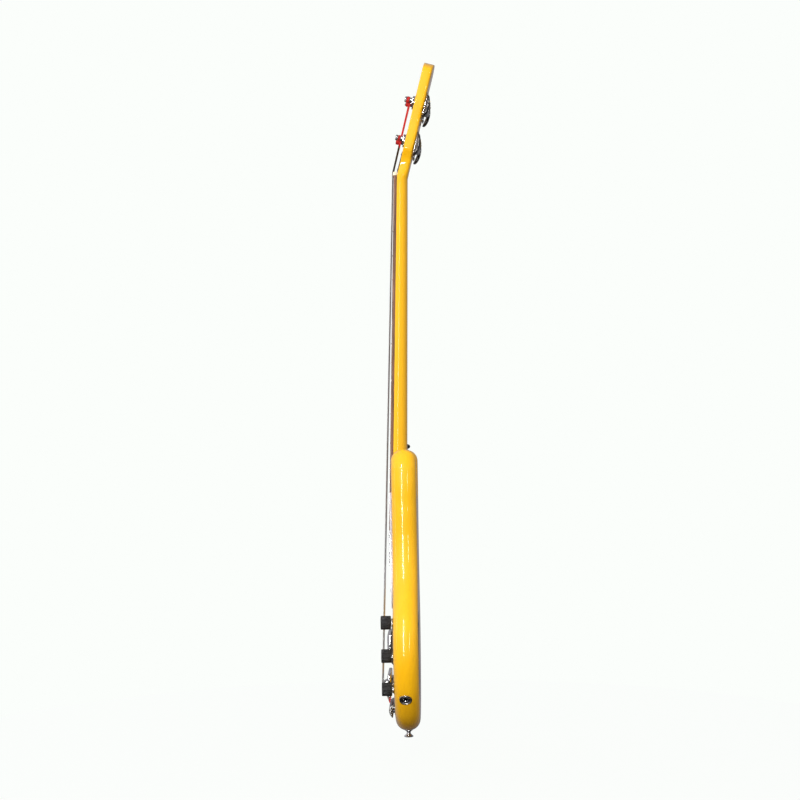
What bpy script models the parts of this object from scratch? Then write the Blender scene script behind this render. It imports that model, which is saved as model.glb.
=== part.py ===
"""Electric bass guitar with a 34 inch scale, held upright by its neck.

World frame: +Z runs up the neck to the headstock, the front faces -Y and the thin strings are at +X.
The origin is on the centre line, on the fretboard's surface where it meets the nut.
Sizes below are millimetres. Three empties carry the pieces: the body's face, the fretboard and the
headstock's face. In each of them X runs across, Y up the instrument and Z out of its front.
"""

import math

import bmesh
import bpy
from mathutils import Matrix, Vector

MM = 0.001
GAP = 0.3

# Scale and neck
SCALE_LENGTH = 863.6
FRETS = 20
NECK_PITCH = 1.6
BOARD_LENGTH = 604.5
BOARD_THICK = 5.5
BOARD_HALF_AT_NUT = 20.5
BOARD_HALF_AT_END = 28.0
FRET_HEIGHT = 1.0
FRET_WIDTH = 2.4
NECK_DEPTH_AT_NUT = 23.5
NECK_DEPTH_GROWTH = 0.0112
TENON_HALF = 25.0
TENON_START = 545.0

# Headstock
HEAD_PITCH = 14.5
HEAD_DROP = 5.8
HEAD_THICK = 17.6
POST_ALONG = (62.0, 129.0)
POST_ACROSS = 23.5

# Nut
NUT_HEIGHT = 1.9
NUT_THICK = 6.0
NUT_HEEL = -6.9

# Body
FACE_Y = -10.45
BODY_THICK = 42.0
EDGE_RADIUS = 19.5
BOUT_CENTRE = 776.0
BOUT_RADIUS = 170.0

# Strings, thick to thin: name, radius, place across at the nut and at the saddle, saddle's place down
STRINGS = (
    ("e", 1.30, -15.5, -28.5, 868.0),
    ("a", 1.05, -5.2, -9.5, 866.5),
    ("d", 0.85, 5.2, 9.5, 865.5),
    ("g", 0.60, 15.5, 28.5, 864.5),
)
STRING_AT_NUT = 2.45
STRING_AT_SADDLE = 22.2
STRING_AT_POST = 11.0
TAIL_DOWN = 897.5
TAIL_PROUD = 9.4

# Front hardware
NECK_PICKUP = (42.0, 608.0, 663.0, 6.7)
BRIDGE_PICKUP = (41.0, 779.0, 823.0, 12.4)
PICKUP_RING = (50.0, 771.0, 831.0, 6.0)
BRIDGE_HALF = 49.0
BRIDGE_TOP = 847.0
BRIDGE_END = 885.0
BRIDGE_LOW = 6.4
BRIDGE_HIGH = 12.4
BRIDGE_FLOOR = 9.4
BRIDGE_POST = (41.5, 866.0)
SADDLE_HALF = 6.6
TAIL_HALF = 44.0
TAIL_STUD = (36.0, 909.0)
PICKGUARD_THICK = 2.5

# Controls: place across and down
KNOBS = (("neck_volume", 118.0, 751.0), ("bridge_volume", 111.0, 807.0), ("tone", 104.0, 863.0))
KNOB_RADIUS = 11.35
KNOB_LOW = 3.5
KNOB_HIGH = 20.4
SHAFT_RADIUS = 3.0
CAVITY_CEILING = -6.0
COVER_THICK = 2.0

# Jack and strap buttons
JACK_ANGLE = 36.5
JACK_DEPTH = 19.2
JACK_RING_RADIUS = 10.5
JACK_HOLE_RADIUS = 3.6
HORN_BUTTON = (-118.3, 475.6, 35.0)

# Tuners, measured from the headstock's faces
WORM_OFFSET = 9.0
WORM_BEHIND = 5.8
COG_RADIUS = 6.2
WORM_RADIUS = 2.5
PIN_RADIUS = 4.75
KEY_START = 46.0

FINISHES = {
    "lacquer": ((0.90, 0.55, 0.03), 0.12, 0.0),
    "rosewood": ((0.09, 0.04, 0.025), 0.5, 0.0),
    "bone": ((0.80, 0.68, 0.46), 0.4, 0.0),
    "chrome": ((0.75, 0.75, 0.76), 0.12, 1.0),
    "dark_chrome": ((0.18, 0.17, 0.17), 0.2, 1.0),
    "steel": ((0.55, 0.53, 0.50), 0.3, 1.0),
    "black_plastic": ((0.012, 0.012, 0.013), 0.3, 0.0),
    "white_plastic": ((0.75, 0.73, 0.78), 0.3, 0.0),
}


def clear_scene():
    for item in list(bpy.data.objects):
        bpy.data.objects.remove(item, do_unlink=True)


def new_collection(name):
    collection = bpy.data.collections.new(name)
    bpy.context.scene.collection.children.link(collection)
    return collection


def frame_empty(name, origin_y, pitch):
    """An empty whose X runs across, Y up the instrument and Z out of its front."""
    empty = bpy.data.objects.new(name, None)
    PARTS.objects.link(empty)
    turn = Matrix.Rotation(math.radians(90 - pitch), 4, "X")
    empty.matrix_world = Matrix.Translation((0, origin_y * MM, 0)) @ turn
    return empty


def own_material(name, finish):
    colour, roughness, metallic = FINISHES[finish]
    material = bpy.data.materials.new(name + "_finish")
    material.use_nodes = True
    shader = material.node_tree.nodes["Principled BSDF"]
    shader.inputs["Base Color"].default_value = (*colour, 1.0)
    shader.inputs["Roughness"].default_value = roughness
    shader.inputs["Metallic"].default_value = metallic
    return material


def add_object(name, mesh, finish, frame, local):
    """Puts a mesh under a frame's empty. With no finish it's a cutter."""
    item = bpy.data.objects.new(name, mesh)
    if finish:
        PARTS.objects.link(item)
        mesh.materials.append(own_material(name, finish))
        mesh.shade_smooth()
        mesh.set_sharp_from_angle(angle=math.radians(35))
    else:
        CUTTERS.objects.link(item)
        item.hide_render = True
        item.display_type = "WIRE"
    item.parent = frame
    item.matrix_local = local
    return item


def from_bmesh(name, bm, finish, frame, local=None):
    bmesh.ops.recalc_face_normals(bm, faces=bm.faces)
    bmesh.ops.scale(bm, vec=(MM, MM, MM), verts=bm.verts)
    mesh = bpy.data.meshes.new(name)
    bm.to_mesh(mesh)
    bm.free()
    return add_object(name, mesh, finish, frame, local or Matrix())


def at(across, up, out):
    return Matrix.Translation(Vector((across, up, out)) * MM)


def block(name, low, high, finish, frame, rounding=0.0):
    """A box between two corners, with its edges rounded when asked."""
    bm = bmesh.new()
    size = Vector(high) - Vector(low)
    middle = (Vector(high) + Vector(low)) / 2
    spread = Matrix.Translation(middle) @ Matrix.Diagonal(size).to_4x4()
    bmesh.ops.create_cube(bm, size=1.0, matrix=spread)
    item = from_bmesh(name, bm, finish, frame)
    if rounding:
        bevel = item.modifiers.new("rounded edges", "BEVEL")
        bevel.width = rounding * MM
        bevel.segments = 2
    return item


def rod(name, radius, start, end, finish, frame, local=None, sides=24):
    """A cylinder between two points."""
    bm = bmesh.new()
    run = Vector(end) - Vector(start)
    turn = run.to_track_quat("Z", "Y").to_matrix().to_4x4()
    middle = Matrix.Translation((Vector(start) + Vector(end)) / 2)
    bmesh.ops.create_cone(bm, cap_ends=True, segments=sides, radius1=radius, radius2=radius,
                          depth=run.length, matrix=middle @ turn)
    return from_bmesh(name, bm, finish, frame, local)


def turned(name, profile, finish, frame, local, steps=16, hollow=False):
    """A profile of (radius, height) from the top down its outer side, turned about local Z.

    A hollow profile comes back up its inner side and closes on itself.
    """
    mesh = bpy.data.meshes.new(name)
    points = [(radius * MM, 0, height * MM) for radius, height in profile]
    edges = [(i, i + 1) for i in range(len(points) - 1)]
    if hollow:
        edges.append((len(points) - 1, 0))
    mesh.from_pydata(points, edges, [])
    item = add_object(name, mesh, finish, frame, local)
    screw = item.modifiers.new("turned", "SCREW")
    screw.steps = steps
    screw.render_steps = steps
    screw.use_merge_vertices = True
    screw.merge_threshold = 0.00001
    return item


def prism(name, outline, half_width, finish, frame, centre=0.0):
    """An outline of (up, out) run from side to side. half_width is a number or a function of up."""
    width = half_width if callable(half_width) else lambda up: half_width
    bm = bmesh.new()
    left = [bm.verts.new((centre - width(up), up, out)) for up, out in outline]
    right = [bm.verts.new((centre + width(up), up, out)) for up, out in outline]
    bm.faces.new(left)
    bm.faces.new(list(reversed(right)))
    for i in range(len(outline)):
        j = (i + 1) % len(outline)
        bm.faces.new((left[i], left[j], right[j], right[i]))
    return from_bmesh(name, bm, finish, frame)


def plate(name, outline, low, high, finish, frame, smooth=True, rounding=0.0, local=None, fineness=4):
    """A flat outline of (across, up) given the thickness from low to high, its rim rounded when asked."""
    curve = bpy.data.curves.new(name, "CURVE")
    curve.dimensions = "2D"
    curve.fill_mode = "BOTH"
    curve.resolution_u = fineness
    curve.bevel_resolution = 2
    curve.bevel_depth = rounding * MM
    curve.offset = -rounding * MM
    curve.extrude = ((high - low) / 2 - rounding) * MM
    add_spline(curve, outline, smooth)
    item = bpy.data.objects.new(name, curve)
    CUTTERS.objects.link(item)
    evaluated = item.evaluated_get(bpy.context.evaluated_depsgraph_get())
    mesh = bpy.data.meshes.new_from_object(evaluated)
    bpy.data.objects.remove(item, do_unlink=True)
    mesh.transform(at(0, 0, (low + high) / 2))
    bm = bmesh.new()
    bm.from_mesh(mesh)
    bmesh.ops.remove_doubles(bm, verts=bm.verts, dist=0.00001)
    bmesh.ops.recalc_face_normals(bm, faces=bm.faces)
    bm.to_mesh(mesh)
    bm.free()
    return add_object(name, mesh, finish, frame, local or Matrix())


def add_spline(curve, outline, smooth):
    points = [Vector((x, y, 0)) * MM for x, y in outline]
    if not smooth:
        spline = curve.splines.new("POLY")
        spline.points.add(len(points) - 1)
        for slot, point in zip(spline.points, points):
            slot.co = (*point, 1.0)
    else:
        spline = curve.splines.new("BEZIER")
        spline.bezier_points.add(len(points) - 1)
        for slot, point in zip(spline.bezier_points, points):
            slot.co = point
        for slot in spline.bezier_points:
            slot.handle_left_type = "AUTO"
            slot.handle_right_type = "AUTO"
    spline.use_cyclic_u = True


def loft(name, rings, finish, frame):
    """A closed skin over rings of equally many points."""
    bm = bmesh.new()
    rows = [[bm.verts.new(point) for point in ring] for ring in rings]
    for near, far in zip(rows, rows[1:]):
        for i in range(len(near)):
            j = (i + 1) % len(near)
            bm.faces.new((near[i], near[j], far[j], far[i]))
    bm.faces.new(rows[0])
    bm.faces.new(list(reversed(rows[-1])))
    return from_bmesh(name, bm, finish, frame)


def combine(item, tool, operation):
    boolean = item.modifiers.new(operation.lower(), "BOOLEAN")
    boolean.operation = operation
    boolean.solver = "EXACT"
    boolean.object = tool


def cut(item, tool):
    combine(item, tool, "DIFFERENCE")


def weld(item, tool):
    combine(item, tool, "UNION")


def arc(centre, radius, start, stop, count):
    """Points on a circle, with angles in degrees from the treble side towards the body's end."""
    points = []
    for i in range(count):
        angle = math.radians(start + (stop - start) * i / (count - 1))
        points.append((centre[0] + radius * math.cos(angle), centre[1] - radius * math.sin(angle)))
    return points


def neck_half(down):
    return BOARD_HALF_AT_NUT + (BOARD_HALF_AT_END - BOARD_HALF_AT_NUT) * down / BOARD_LENGTH


def neck_section(matrix, up, half, front, back, squareness):
    """A ring with a flat front and a round back, from a plain C at 2 to nearly square at 9."""
    steps = 20
    ring = []
    for i in range(steps + 1):
        turn = math.pi * i / steps
        side = math.copysign(abs(math.cos(turn)) ** (2 / squareness), math.cos(turn))
        depth = abs(math.sin(turn)) ** (2 / squareness)
        point = Vector((half * side, up, front + (back - front) * depth)) * MM
        ring.append((matrix @ point) / MM)
    return ring


def neck_rings(grow, head):
    """Rings down the headstock and neck, in world millimetres and larger by grow all round."""
    rings = []
    if head:
        for up, half, square, heel in HEAD_SHAPE:
            rings.append(neck_section(HEAD.matrix_world, up, half, 0.0, -HEAD_THICK - heel, square))
    downs = (6.0, 40.0, 150.0, 300.0, 432.0, 500.0, 528.0, TENON_START, BOARD_LENGTH + GAP)
    for down in downs if head else downs[-4:]:
        tenon = down >= TENON_START
        half = TENON_HALF if tenon else neck_half(down)
        front = -BOARD_THICK - GAP + 2 * grow
        back = -NECK_DEPTH_AT_NUT - NECK_DEPTH_GROWTH * down - grow
        square = 9.0 if tenon else 2.3
        end = grow if down > BOARD_LENGTH else 0.0
        rings.append(neck_section(NECK.matrix_world, -down - end, half + grow, front, back, square))
    return rings


# Headstock rings: up from the nut, half width, squareness of the section, extra thickness
HEAD_SHAPE = (
    (199.0, 6.0, 9.0, 0.0), (197.6, 18.0, 9.0, 0.0), (194.5, 28.0, 9.0, 0.0), (190.5, 36.0, 9.0, 0.0),
    (184.0, 42.0, 9.0, 0.0), (158.0, 41.6, 9.0, 0.0), (123.0, 40.2, 9.0, 0.0), (80.0, 39.6, 9.0, 0.0),
    (56.0, 39.8, 9.0, 0.0), (48.0, 38.8, 9.0, 0.0), (42.0, 35.8, 9.0, 0.0), (34.0, 29.5, 9.0, 0.0),
    (24.0, 24.2, 8.0, 0.1), (12.0, 21.4, 5.0, 0.3), (0.3, 20.6, 2.8, 0.7),
)


def make_body():
    treble = [(36, -538), (57, -530), (71, -508), (75, -484), (98, -465), (121, -484), (125, -509),
              (119, -565), (112, -629), (119, -668), (140, -710), (161, -744)]
    bout = arc((0, -BOUT_CENTRE), BOUT_RADIUS, 0, 180, 9)
    bass = [(-161, -742), (-142, -708), (-124, -668), (-117, -634), (-124, -568), (-131, -515),
            (-127, -489), (-104, -471), (-81, -490), (-77, -511), (-60, -534), (-36, -542)]
    body = plate("body", treble + bout + bass, -BODY_THICK, 0.0, "lacquer", BODY, rounding=EDGE_RADIUS)
    cut(body, loft("neck_pocket_cut", neck_rings(GAP, head=False), None, None))
    cut(body, prism("board_cut", [(-500, -BOARD_THICK - GAP), (-500, 20), (-BOARD_LENGTH - GAP, 20),
                                  (-BOARD_LENGTH - GAP, -BOARD_THICK - GAP)],
                    BOARD_HALF_AT_END + GAP, None, NECK))
    for name, pickup, depth in (("neck", NECK_PICKUP, -17.0), ("bridge", BRIDGE_PICKUP, -14.0)):
        half, top, end, _ = pickup
        low = (-half - GAP, -end - GAP, depth)
        high = (half + GAP, -top + GAP, 5.0)
        cut(body, block(name + "_pickup_cut", low, high, None, BODY))
    cut_control_cavity(body)
    for name, across, down in KNOBS:
        cut(body, rod(name + "_hole_cut", 5.0, (across, -down, -12), (across, -down, 5), None, BODY))
    for name, (across, down), radius in (("bridge", BRIDGE_POST, 3.3), ("tail", TAIL_STUD, 4.3)):
        for side in (-1, 1):
            spot = (side * across, -down, -16)
            top = (side * across, -down, 5)
            cut(body, rod(f"{name}_stud_cut_{side}", radius, spot, top, None, BODY))
    cut(body, rod("jack_bore_cut", 6.6, (0, 0, -32), (0, 0, 5), None, BODY, jack_place()))
    cut(body, rod("jack_seat_cut", JACK_RING_RADIUS + GAP, (0, 0, -3.3), (0, 0, 5), None, BODY,
                  jack_place()))
    for name, place in (("end", end_button_place()), ("horn", horn_button_place())):
        cut(body, rod(name + "_screw_cut", 2.3, (0, 0, -26), (0, 0, 5), None, BODY, place))
        cut(body, rod(name + "_seat_cut", 7.4, (0, 0, 0), (0, 0, 5), None, BODY, place))
    return body


def cavity_outline(inset):
    """The control cavity's outline, which follows the body's edge on its outer side."""
    corners = [(84 + inset, -878 + inset), (84 + inset, -736 - inset), (128, -733 - inset)]
    return corners + arc((0, -BOUT_CENTRE), BOUT_RADIUS - 20.5 - inset, -10, 42, 9)


def cut_control_cavity(body):
    below = -BODY_THICK - 5
    step = -BODY_THICK + COVER_THICK + GAP
    recess = plate("cover_recess_cut", cavity_outline(-GAP), below, step, None, BODY, smooth=False)
    cavity = plate("cavity_cut", cavity_outline(4.5), below, CAVITY_CEILING, None, BODY, smooth=False)
    cut(body, recess)
    cut(body, cavity)


def make_neck():
    neck = loft("neck", neck_rings(0.0, head=True), "lacquer", None)
    for name, across, along in tuner_places():
        start = (across, along, -HEAD_THICK - 2)
        cut(neck, rod(f"post_hole_cut_{name}", 6.3, start, (across, along, 2), None, HEAD))
    cut(neck, block("rod_channel_cut", (-3.2, -560, -16.2), (3.2, 1, -4.0), None, NECK))
    cut(neck, block("rod_pocket_cut", (-4.5, -1, -12), (4.5, 26, 2), None, HEAD))


def make_fretboard():
    """The board's side outline carries the frets as low ridges, run to the board's tapering width."""
    outline = [(-GAP, -BOARD_THICK), (-GAP, 0)]
    for fret in range(1, FRETS + 1):
        down = SCALE_LENGTH * (1 - 2 ** (-fret / 12))
        half = FRET_WIDTH / 2
        outline += [(-down + half, 0), (-down + half / 2, FRET_HEIGHT), (-down - half / 2, FRET_HEIGHT),
                    (-down - half, 0)]
    outline += [(-BOARD_LENGTH, 0), (-BOARD_LENGTH, -BOARD_THICK)]
    prism("fretboard", outline, lambda up: neck_half(-up), "rosewood", NECK)


def make_nut():
    """A block whose bottom follows the headstock's slope, with a slot for each string."""
    start = GAP / 3
    outline = [(start, -BOARD_THICK + 0.1), (start, NUT_HEIGHT), (NUT_THICK, NUT_HEIGHT),
               (NUT_THICK, NUT_HEEL)]
    nut = prism("nut", outline, BOARD_HALF_AT_NUT, "bone", NECK)
    for name, radius, across, _, _ in STRINGS:
        half = radius + GAP
        floor = STRING_AT_NUT - half
        slot = block(f"nut_slot_cut_{name}", (across - half, -2, floor), (across + half, 9, 5), None, NECK)
        cut(nut, slot)


def make_truss_rod():
    rod("truss_rod", 2.4, (0, -556, -13), (0, 0.8, -13), "steel", NECK, sides=12)
    rod("truss_rod_nut", 3.4, (0, 1.2, -13), (0, 13, -13), "steel", NECK, sides=6)
    outline = [(-12, 7.2), (12, 7.2), (11, 16), (7, 27), (5, 38), (0, 44), (-5, 38), (-7, 27), (-11, 16)]
    plate("truss_rod_cover", outline, GAP, 2.1, "black_plastic", HEAD, smooth=False)


def make_pickguard():
    outline = [(99, -537), (102, -570), (96, -605), (91, -632), (94, -668), (97, -702), (82, -728),
               (48, -730), (12, -712), (-28, -694), (-50, -678), (-53, -640), (-50, -602), (-24, -588),
               (10, -572), (45, -562), (78, -552)]
    guard = plate("pickguard", outline, GAP, GAP + PICKGUARD_THICK, "white_plastic", BODY)
    half = BOARD_HALF_AT_END + GAP
    cut(guard, block("guard_board_cut", (-half, -BOARD_LENGTH - 2, -2), (half, -520, 9), None, BODY))
    half, top, end, _ = NECK_PICKUP
    low = (-half - GAP, -end - GAP, -2)
    high = (half + GAP, -top + GAP, 9)
    cut(guard, block("guard_pickup_cut", low, high, None, BODY))


def make_pickup_cover(name, pickup, depth):
    """A pressed metal cover, open underneath."""
    half, top, end, high = pickup
    cover = block(name, (-half, -end, depth), (half, -top, high), "chrome", BODY, rounding=2.0)
    wall = 1.2
    inner = block(name + "_inside_cut", (-half + wall, -end + wall, depth - 5),
                  (half - wall, -top - wall, high - wall), None, BODY)
    cut(cover, inner)


def make_pickup_ring():
    half, top, end, high = PICKUP_RING
    middle = (top + end) / 2
    rings = []
    for inset, out in ((0.0, GAP), (0.0, 2.0), (4.5, high)):
        x = half - inset
        y = (end - top) / 2 - inset
        corners = ((-1, -1), (1, -1), (1, 1), (-1, 1))
        rings.append([(i * x, -middle + j * y, out) for i, j in corners])
    ring = loft("bridge_pickup_ring", rings, "black_plastic", BODY)
    half, top, end, _ = BRIDGE_PICKUP
    low = (-half - GAP, -end - GAP, -5)
    high = (half + GAP, -top + GAP, 20)
    cut(ring, block("ring_window_cut", low, high, None, BODY))


def make_bridge():
    low = (-BRIDGE_HALF, -BRIDGE_END, BRIDGE_LOW)
    high = (BRIDGE_HALF, -BRIDGE_TOP, BRIDGE_HIGH)
    bar = block("bridge_bar", low, high, "chrome", BODY, rounding=1.5)
    trough_low = (-36.0, -BRIDGE_END + 4, BRIDGE_FLOOR)
    cut(bar, block("saddle_trough_cut", trough_low, (36.0, -BRIDGE_TOP - 4, 20), None, BODY))
    across, down = BRIDGE_POST
    for side, name in ((-1, "bass"), (1, "treble")):
        x = side * across
        cut(bar, rod(f"bridge_hole_cut_{name}", 3.3, (x, -down, 0), (x, -down, 20), None, BODY))
        profile = [(0, 12.9), (3.0, 12.9), (3.0, 6.1), (7.5, 6.1), (7.5, 3.4), (3.0, 3.4), (3.0, -14),
                   (0, -14)]
        turned(f"bridge_post_{name}", profile, "steel", BODY, at(x, -down, 0))
    for name, radius, _, x, down in STRINGS:
        top = STRING_AT_SADDLE - radius - GAP
        low = BRIDGE_FLOOR + GAP
        outline = [(-down - 5.5, low), (-down + 5.5, low), (-down + 5.5, low + 4), (-down + 1.2, top),
                   (-down - 1.2, top), (-down - 5.5, low + 4)]
        prism(f"saddle_{name}", outline, SADDLE_HALF, "chrome", BODY, centre=x)


def make_tailpiece():
    """A curved claw that stands on two studs and hooks outwards at its lower end."""
    outline = [(-898.0, 1.6), (-898.6, 6.0), (-900.6, 9.2), (-904.0, 10.8), (-909.0, 11.0), (-914.0, 9.8),
               (-918.0, 7.6), (-920.5, 5.2), (-919.0, 4.2), (-914.0, 5.6), (-909.0, 6.0), (-905.0, 4.8),
               (-902.0, 1.6)]
    prism("tailpiece", outline, TAIL_HALF, "dark_chrome", BODY)
    across, down = TAIL_STUD
    profile = [(0, 4.5), (4.0, 4.5), (4.0, -14), (0, -14)]
    for side, name in ((-1, "bass"), (1, "treble")):
        turned(f"tailpiece_stud_{name}", profile, "steel", BODY, at(side * across, -down, 0))


def make_controls():
    knob = [(0, KNOB_HIGH), (KNOB_RADIUS - 0.8, KNOB_HIGH), (KNOB_RADIUS, KNOB_HIGH - 0.8),
            (KNOB_RADIUS, KNOB_LOW), (SHAFT_RADIUS + GAP, KNOB_LOW), (SHAFT_RADIUS + GAP, 15.3), (0, 15.3)]
    shaft = [(0, 15.0), (SHAFT_RADIUS, 15.0), (SHAFT_RADIUS, -10), (0, -10)]
    bore = SHAFT_RADIUS + GAP
    can_top = CAVITY_CEILING - GAP
    pot = [(4.7, 2.6), (7.0, 2.6), (7.0, GAP), (4.7, GAP), (4.7, can_top), (8.0, can_top),
           (8.0, -17), (bore, -17), (bore, 2.6)]
    for name, across, down in KNOBS:
        spot = at(across, -down, 0)
        turned(f"{name}_knob", knob, "black_plastic", BODY, spot, steps=24)
        turned(f"{name}_shaft", shaft, "steel", BODY, spot, steps=12)
        turned(f"{name}_pot", pot, "steel", BODY, spot, steps=14, hollow=True)
    plate("control_cover", cavity_outline(0.0), -BODY_THICK, -BODY_THICK + COVER_THICK, "black_plastic", BODY,
          smooth=False)


def edge_place(across, down, depth, angle):
    """A place on the body's rim whose Z points out at an angle below the treble side."""
    direction = Vector((math.cos(math.radians(angle)), -math.sin(math.radians(angle)), 0))
    turn = direction.to_track_quat("Z", "Y").to_matrix().to_4x4()
    return at(across, -down, -depth) @ turn


def jack_place():
    angle = math.radians(JACK_ANGLE)
    across = BOUT_RADIUS * math.cos(angle)
    down = BOUT_CENTRE + BOUT_RADIUS * math.sin(angle)
    return edge_place(across, down, JACK_DEPTH, JACK_ANGLE)


def end_button_place():
    return edge_place(0, BOUT_CENTRE + BOUT_RADIUS, BODY_THICK / 2, 90)


def horn_button_place():
    across, down, lean = HORN_BUTTON
    return edge_place(across, down, BODY_THICK / 2, -90 - lean)


def make_jack():
    """A dished ring in the rim, with the socket's sleeve behind it."""
    rim = JACK_RING_RADIUS
    ring = [(rim - 0.6, 0.4), (rim, 0), (rim, -3.0), (6.9, -3.0), (6.9, -0.6), (8.0, 0.4)]
    turned("jack_ring", ring, "chrome", BODY, jack_place(), steps=20, hollow=True)
    socket = [(6.3, -1.0), (6.3, -24), (JACK_HOLE_RADIUS, -24), (JACK_HOLE_RADIUS, -1.0)]
    turned("jack_socket", socket, "dark_chrome", BODY, jack_place(), hollow=True)


def make_strap_buttons():
    profile = [(0, 14.0), (6.6, 14.0), (8.0, 12.6), (8.0, 11.6), (3.4, 7.0), (3.3, 4.6), (7.0, 2.2),
               (7.0, GAP), (2.0, GAP), (2.0, -24), (0, -24)]
    turned("end_strap_button", profile, "chrome", BODY, end_button_place())
    turned("horn_strap_button", profile, "chrome", BODY, horn_button_place())


def tuner_places():
    """Name, place across and place along the headstock of the four tuners."""
    low, high = POST_ALONG
    places = (("e", -1, low), ("a", -1, high), ("d", 1, high), ("g", 1, low))
    return [(name, side * POST_ACROSS, along) for name, side, along in places]


def make_tuner(name, across, along):
    """Post, cog, bushing, plate and key of one tuner, with its worm below the post."""
    side = math.copysign(1, across)
    back = -HEAD_THICK
    worm_out = back - WORM_BEHIND
    spot = at(across, along, 0)
    post = [(0, 17.5), (4.4, 17.5), (PIN_RADIUS, 17.0), (PIN_RADIUS, 14.4), (4.2, 13.6), (4.2, 8.6),
            (PIN_RADIUS, 7.8), (PIN_RADIUS, back - 2.2), (2.4, back - 2.2), (2.4, back - 9.0),
            (0, back - 9.0)]
    turned(f"tuner_post_{name}", post, "chrome", HEAD, spot, steps=12)
    cog = [(2.7, back - 2.6), (COG_RADIUS, back - 2.6), (COG_RADIUS, back - 8.6), (2.7, back - 8.6)]
    turned(f"tuner_cog_{name}", cog, "steel", HEAD, spot, hollow=True)
    bore = PIN_RADIUS + GAP
    bushing = [(6.6, 5.0), (7.6, 4.2), (7.6, 1.8), (9.3, 1.2), (9.3, GAP), (6.0, GAP), (6.0, -8.0),
               (bore, -8.0), (bore, 5.0)]
    turned(f"tuner_bushing_{name}", bushing, "chrome", HEAD, spot, steps=14, hollow=True)
    make_tuner_plate(name, side, across, along, worm_out)
    make_tuner_key(name, side, across, along, worm_out)


def make_tuner_plate(name, side, across, along, worm_out):
    """A flat plate with two lugs that hold the worm's shaft."""
    high = -HEAD_THICK - GAP
    low = high - 1.6
    middle = along - WORM_OFFSET / 2
    base = block(f"tuner_plate_{name}", (across - 13, middle - 22, low), (across + 13, middle + 22, high),
                 "chrome", HEAD)
    worm = along - WORM_OFFSET
    for number, offset in enumerate((-9.8, 9.8)):
        lug_low = (across + offset - 1.6, worm - 2.5, worm_out - 4.0)
        lug_high = (across + offset + 1.6, worm + 5.0, low + 0.5)
        weld(base, block(f"lug_{name}_{number}", lug_low, lug_high, None, HEAD))
    start = (across - 14, worm, worm_out)
    end = (across + 14, worm, worm_out)
    cut(base, rod(f"worm_hole_cut_{name}", WORM_RADIUS - 0.4, start, end, None, HEAD, sides=16))
    cut(base, rod(f"plate_hole_cut_{name}", PIN_RADIUS + GAP, (across, along, low - 2),
                  (across, along, high + 1), None, HEAD, sides=16))


def make_tuner_key(name, side, across, along, worm_out):
    """The worm, its shaft and the ear that the fingers turn. Local Z runs outwards along the shaft."""
    turn = Vector((side, 0, 0)).to_track_quat("Z", "Y").to_matrix().to_4x4()
    middle = at(across, along - WORM_OFFSET, worm_out)
    thin = WORM_RADIUS - 0.7
    hub = KEY_START - abs(across)
    shaft = [(0, hub + 6), (3.4, hub + 6), (4.5, hub + 2), (4.5, hub), (thin, hub), (thin, 7.8),
             (WORM_RADIUS, 7.0), (WORM_RADIUS, -7.0), (thin, -7.8), (thin, -12.5), (0, -12.5)]
    key = turned(f"tuner_key_{name}", shaft, "chrome", HEAD, middle @ turn, steps=12)
    ear = [(-3.2, 1), (3.2, 1), (7, 5), (15, 7), (19, 14), (17.5, 22), (10, 26.5), (0, 25), (-10, 26.5),
           (-17.5, 22), (-19, 14), (-15, 7), (-7, 5)]
    flat = [(x, y + hub) for x, y in ear]
    outwards = Matrix.Rotation(-side * math.pi / 2, 4, "Z")
    weld(key, plate(f"ear_{name}", flat, -1.8, 1.8, None, HEAD, smooth=False, local=middle @ outwards))


def make_string(name, radius, at_nut, at_saddle, saddle_down):
    """One string along its whole path: tailpiece, saddle, nut and post."""
    body = BODY.matrix_world
    neck = NECK.matrix_world
    head = HEAD.matrix_world
    place = dict((post, (across, along)) for post, across, along in tuner_places())
    across, along = place[name]
    inner = across - math.copysign(PIN_RADIUS + radius, across)
    points = [
        body @ (Vector((at_saddle, -TAIL_DOWN, TAIL_PROUD)) * MM),
        body @ (Vector((at_saddle, -saddle_down - 1.5, STRING_AT_SADDLE - 0.25)) * MM),
        body @ (Vector((at_saddle, -saddle_down, STRING_AT_SADDLE)) * MM),
        neck @ (Vector((at_nut, 1.0, STRING_AT_NUT)) * MM),
        neck @ (Vector((at_nut, NUT_THICK - 1.0, STRING_AT_NUT - 0.2)) * MM),
        head @ (Vector((inner, along, STRING_AT_POST)) * MM),
    ]
    curve = bpy.data.curves.new(f"string_{name}", "CURVE")
    curve.dimensions = "3D"
    curve.bevel_depth = radius * MM
    curve.bevel_resolution = 1
    curve.use_fill_caps = True
    spline = curve.splines.new("POLY")
    spline.points.add(len(points) - 1)
    for slot, point in zip(spline.points, points):
        slot.co = (*point, 1.0)
    item = bpy.data.objects.new(f"string_{name}", curve)
    PARTS.objects.link(item)
    curve.materials.append(own_material(f"string_{name}", "steel"))


clear_scene()
PARTS = new_collection("electric_bass_guitar")
CUTTERS = new_collection("cutters")
BODY = frame_empty("body_face", FACE_Y, 0.0)
NECK = frame_empty("fretboard_face", 0.0, NECK_PITCH)
HEAD = frame_empty("headstock_face", HEAD_DROP, HEAD_PITCH)
bpy.context.view_layer.update()

make_body()
make_neck()
make_fretboard()
make_nut()
make_truss_rod()
make_pickguard()
make_pickup_cover("neck_pickup_cover", NECK_PICKUP, -15.0)
make_pickup_cover("bridge_pickup_cover", BRIDGE_PICKUP, -12.0)
make_pickup_ring()
make_bridge()
make_tailpiece()
make_controls()
make_jack()
make_strap_buttons()
for tuner in tuner_places():
    make_tuner(*tuner)
for string in STRINGS:
    make_string(*string)
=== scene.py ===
import math

import bpy
from bpy.props import FloatProperty, FloatVectorProperty, IntProperty, PointerProperty
from mathutils import Matrix, Vector


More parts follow.
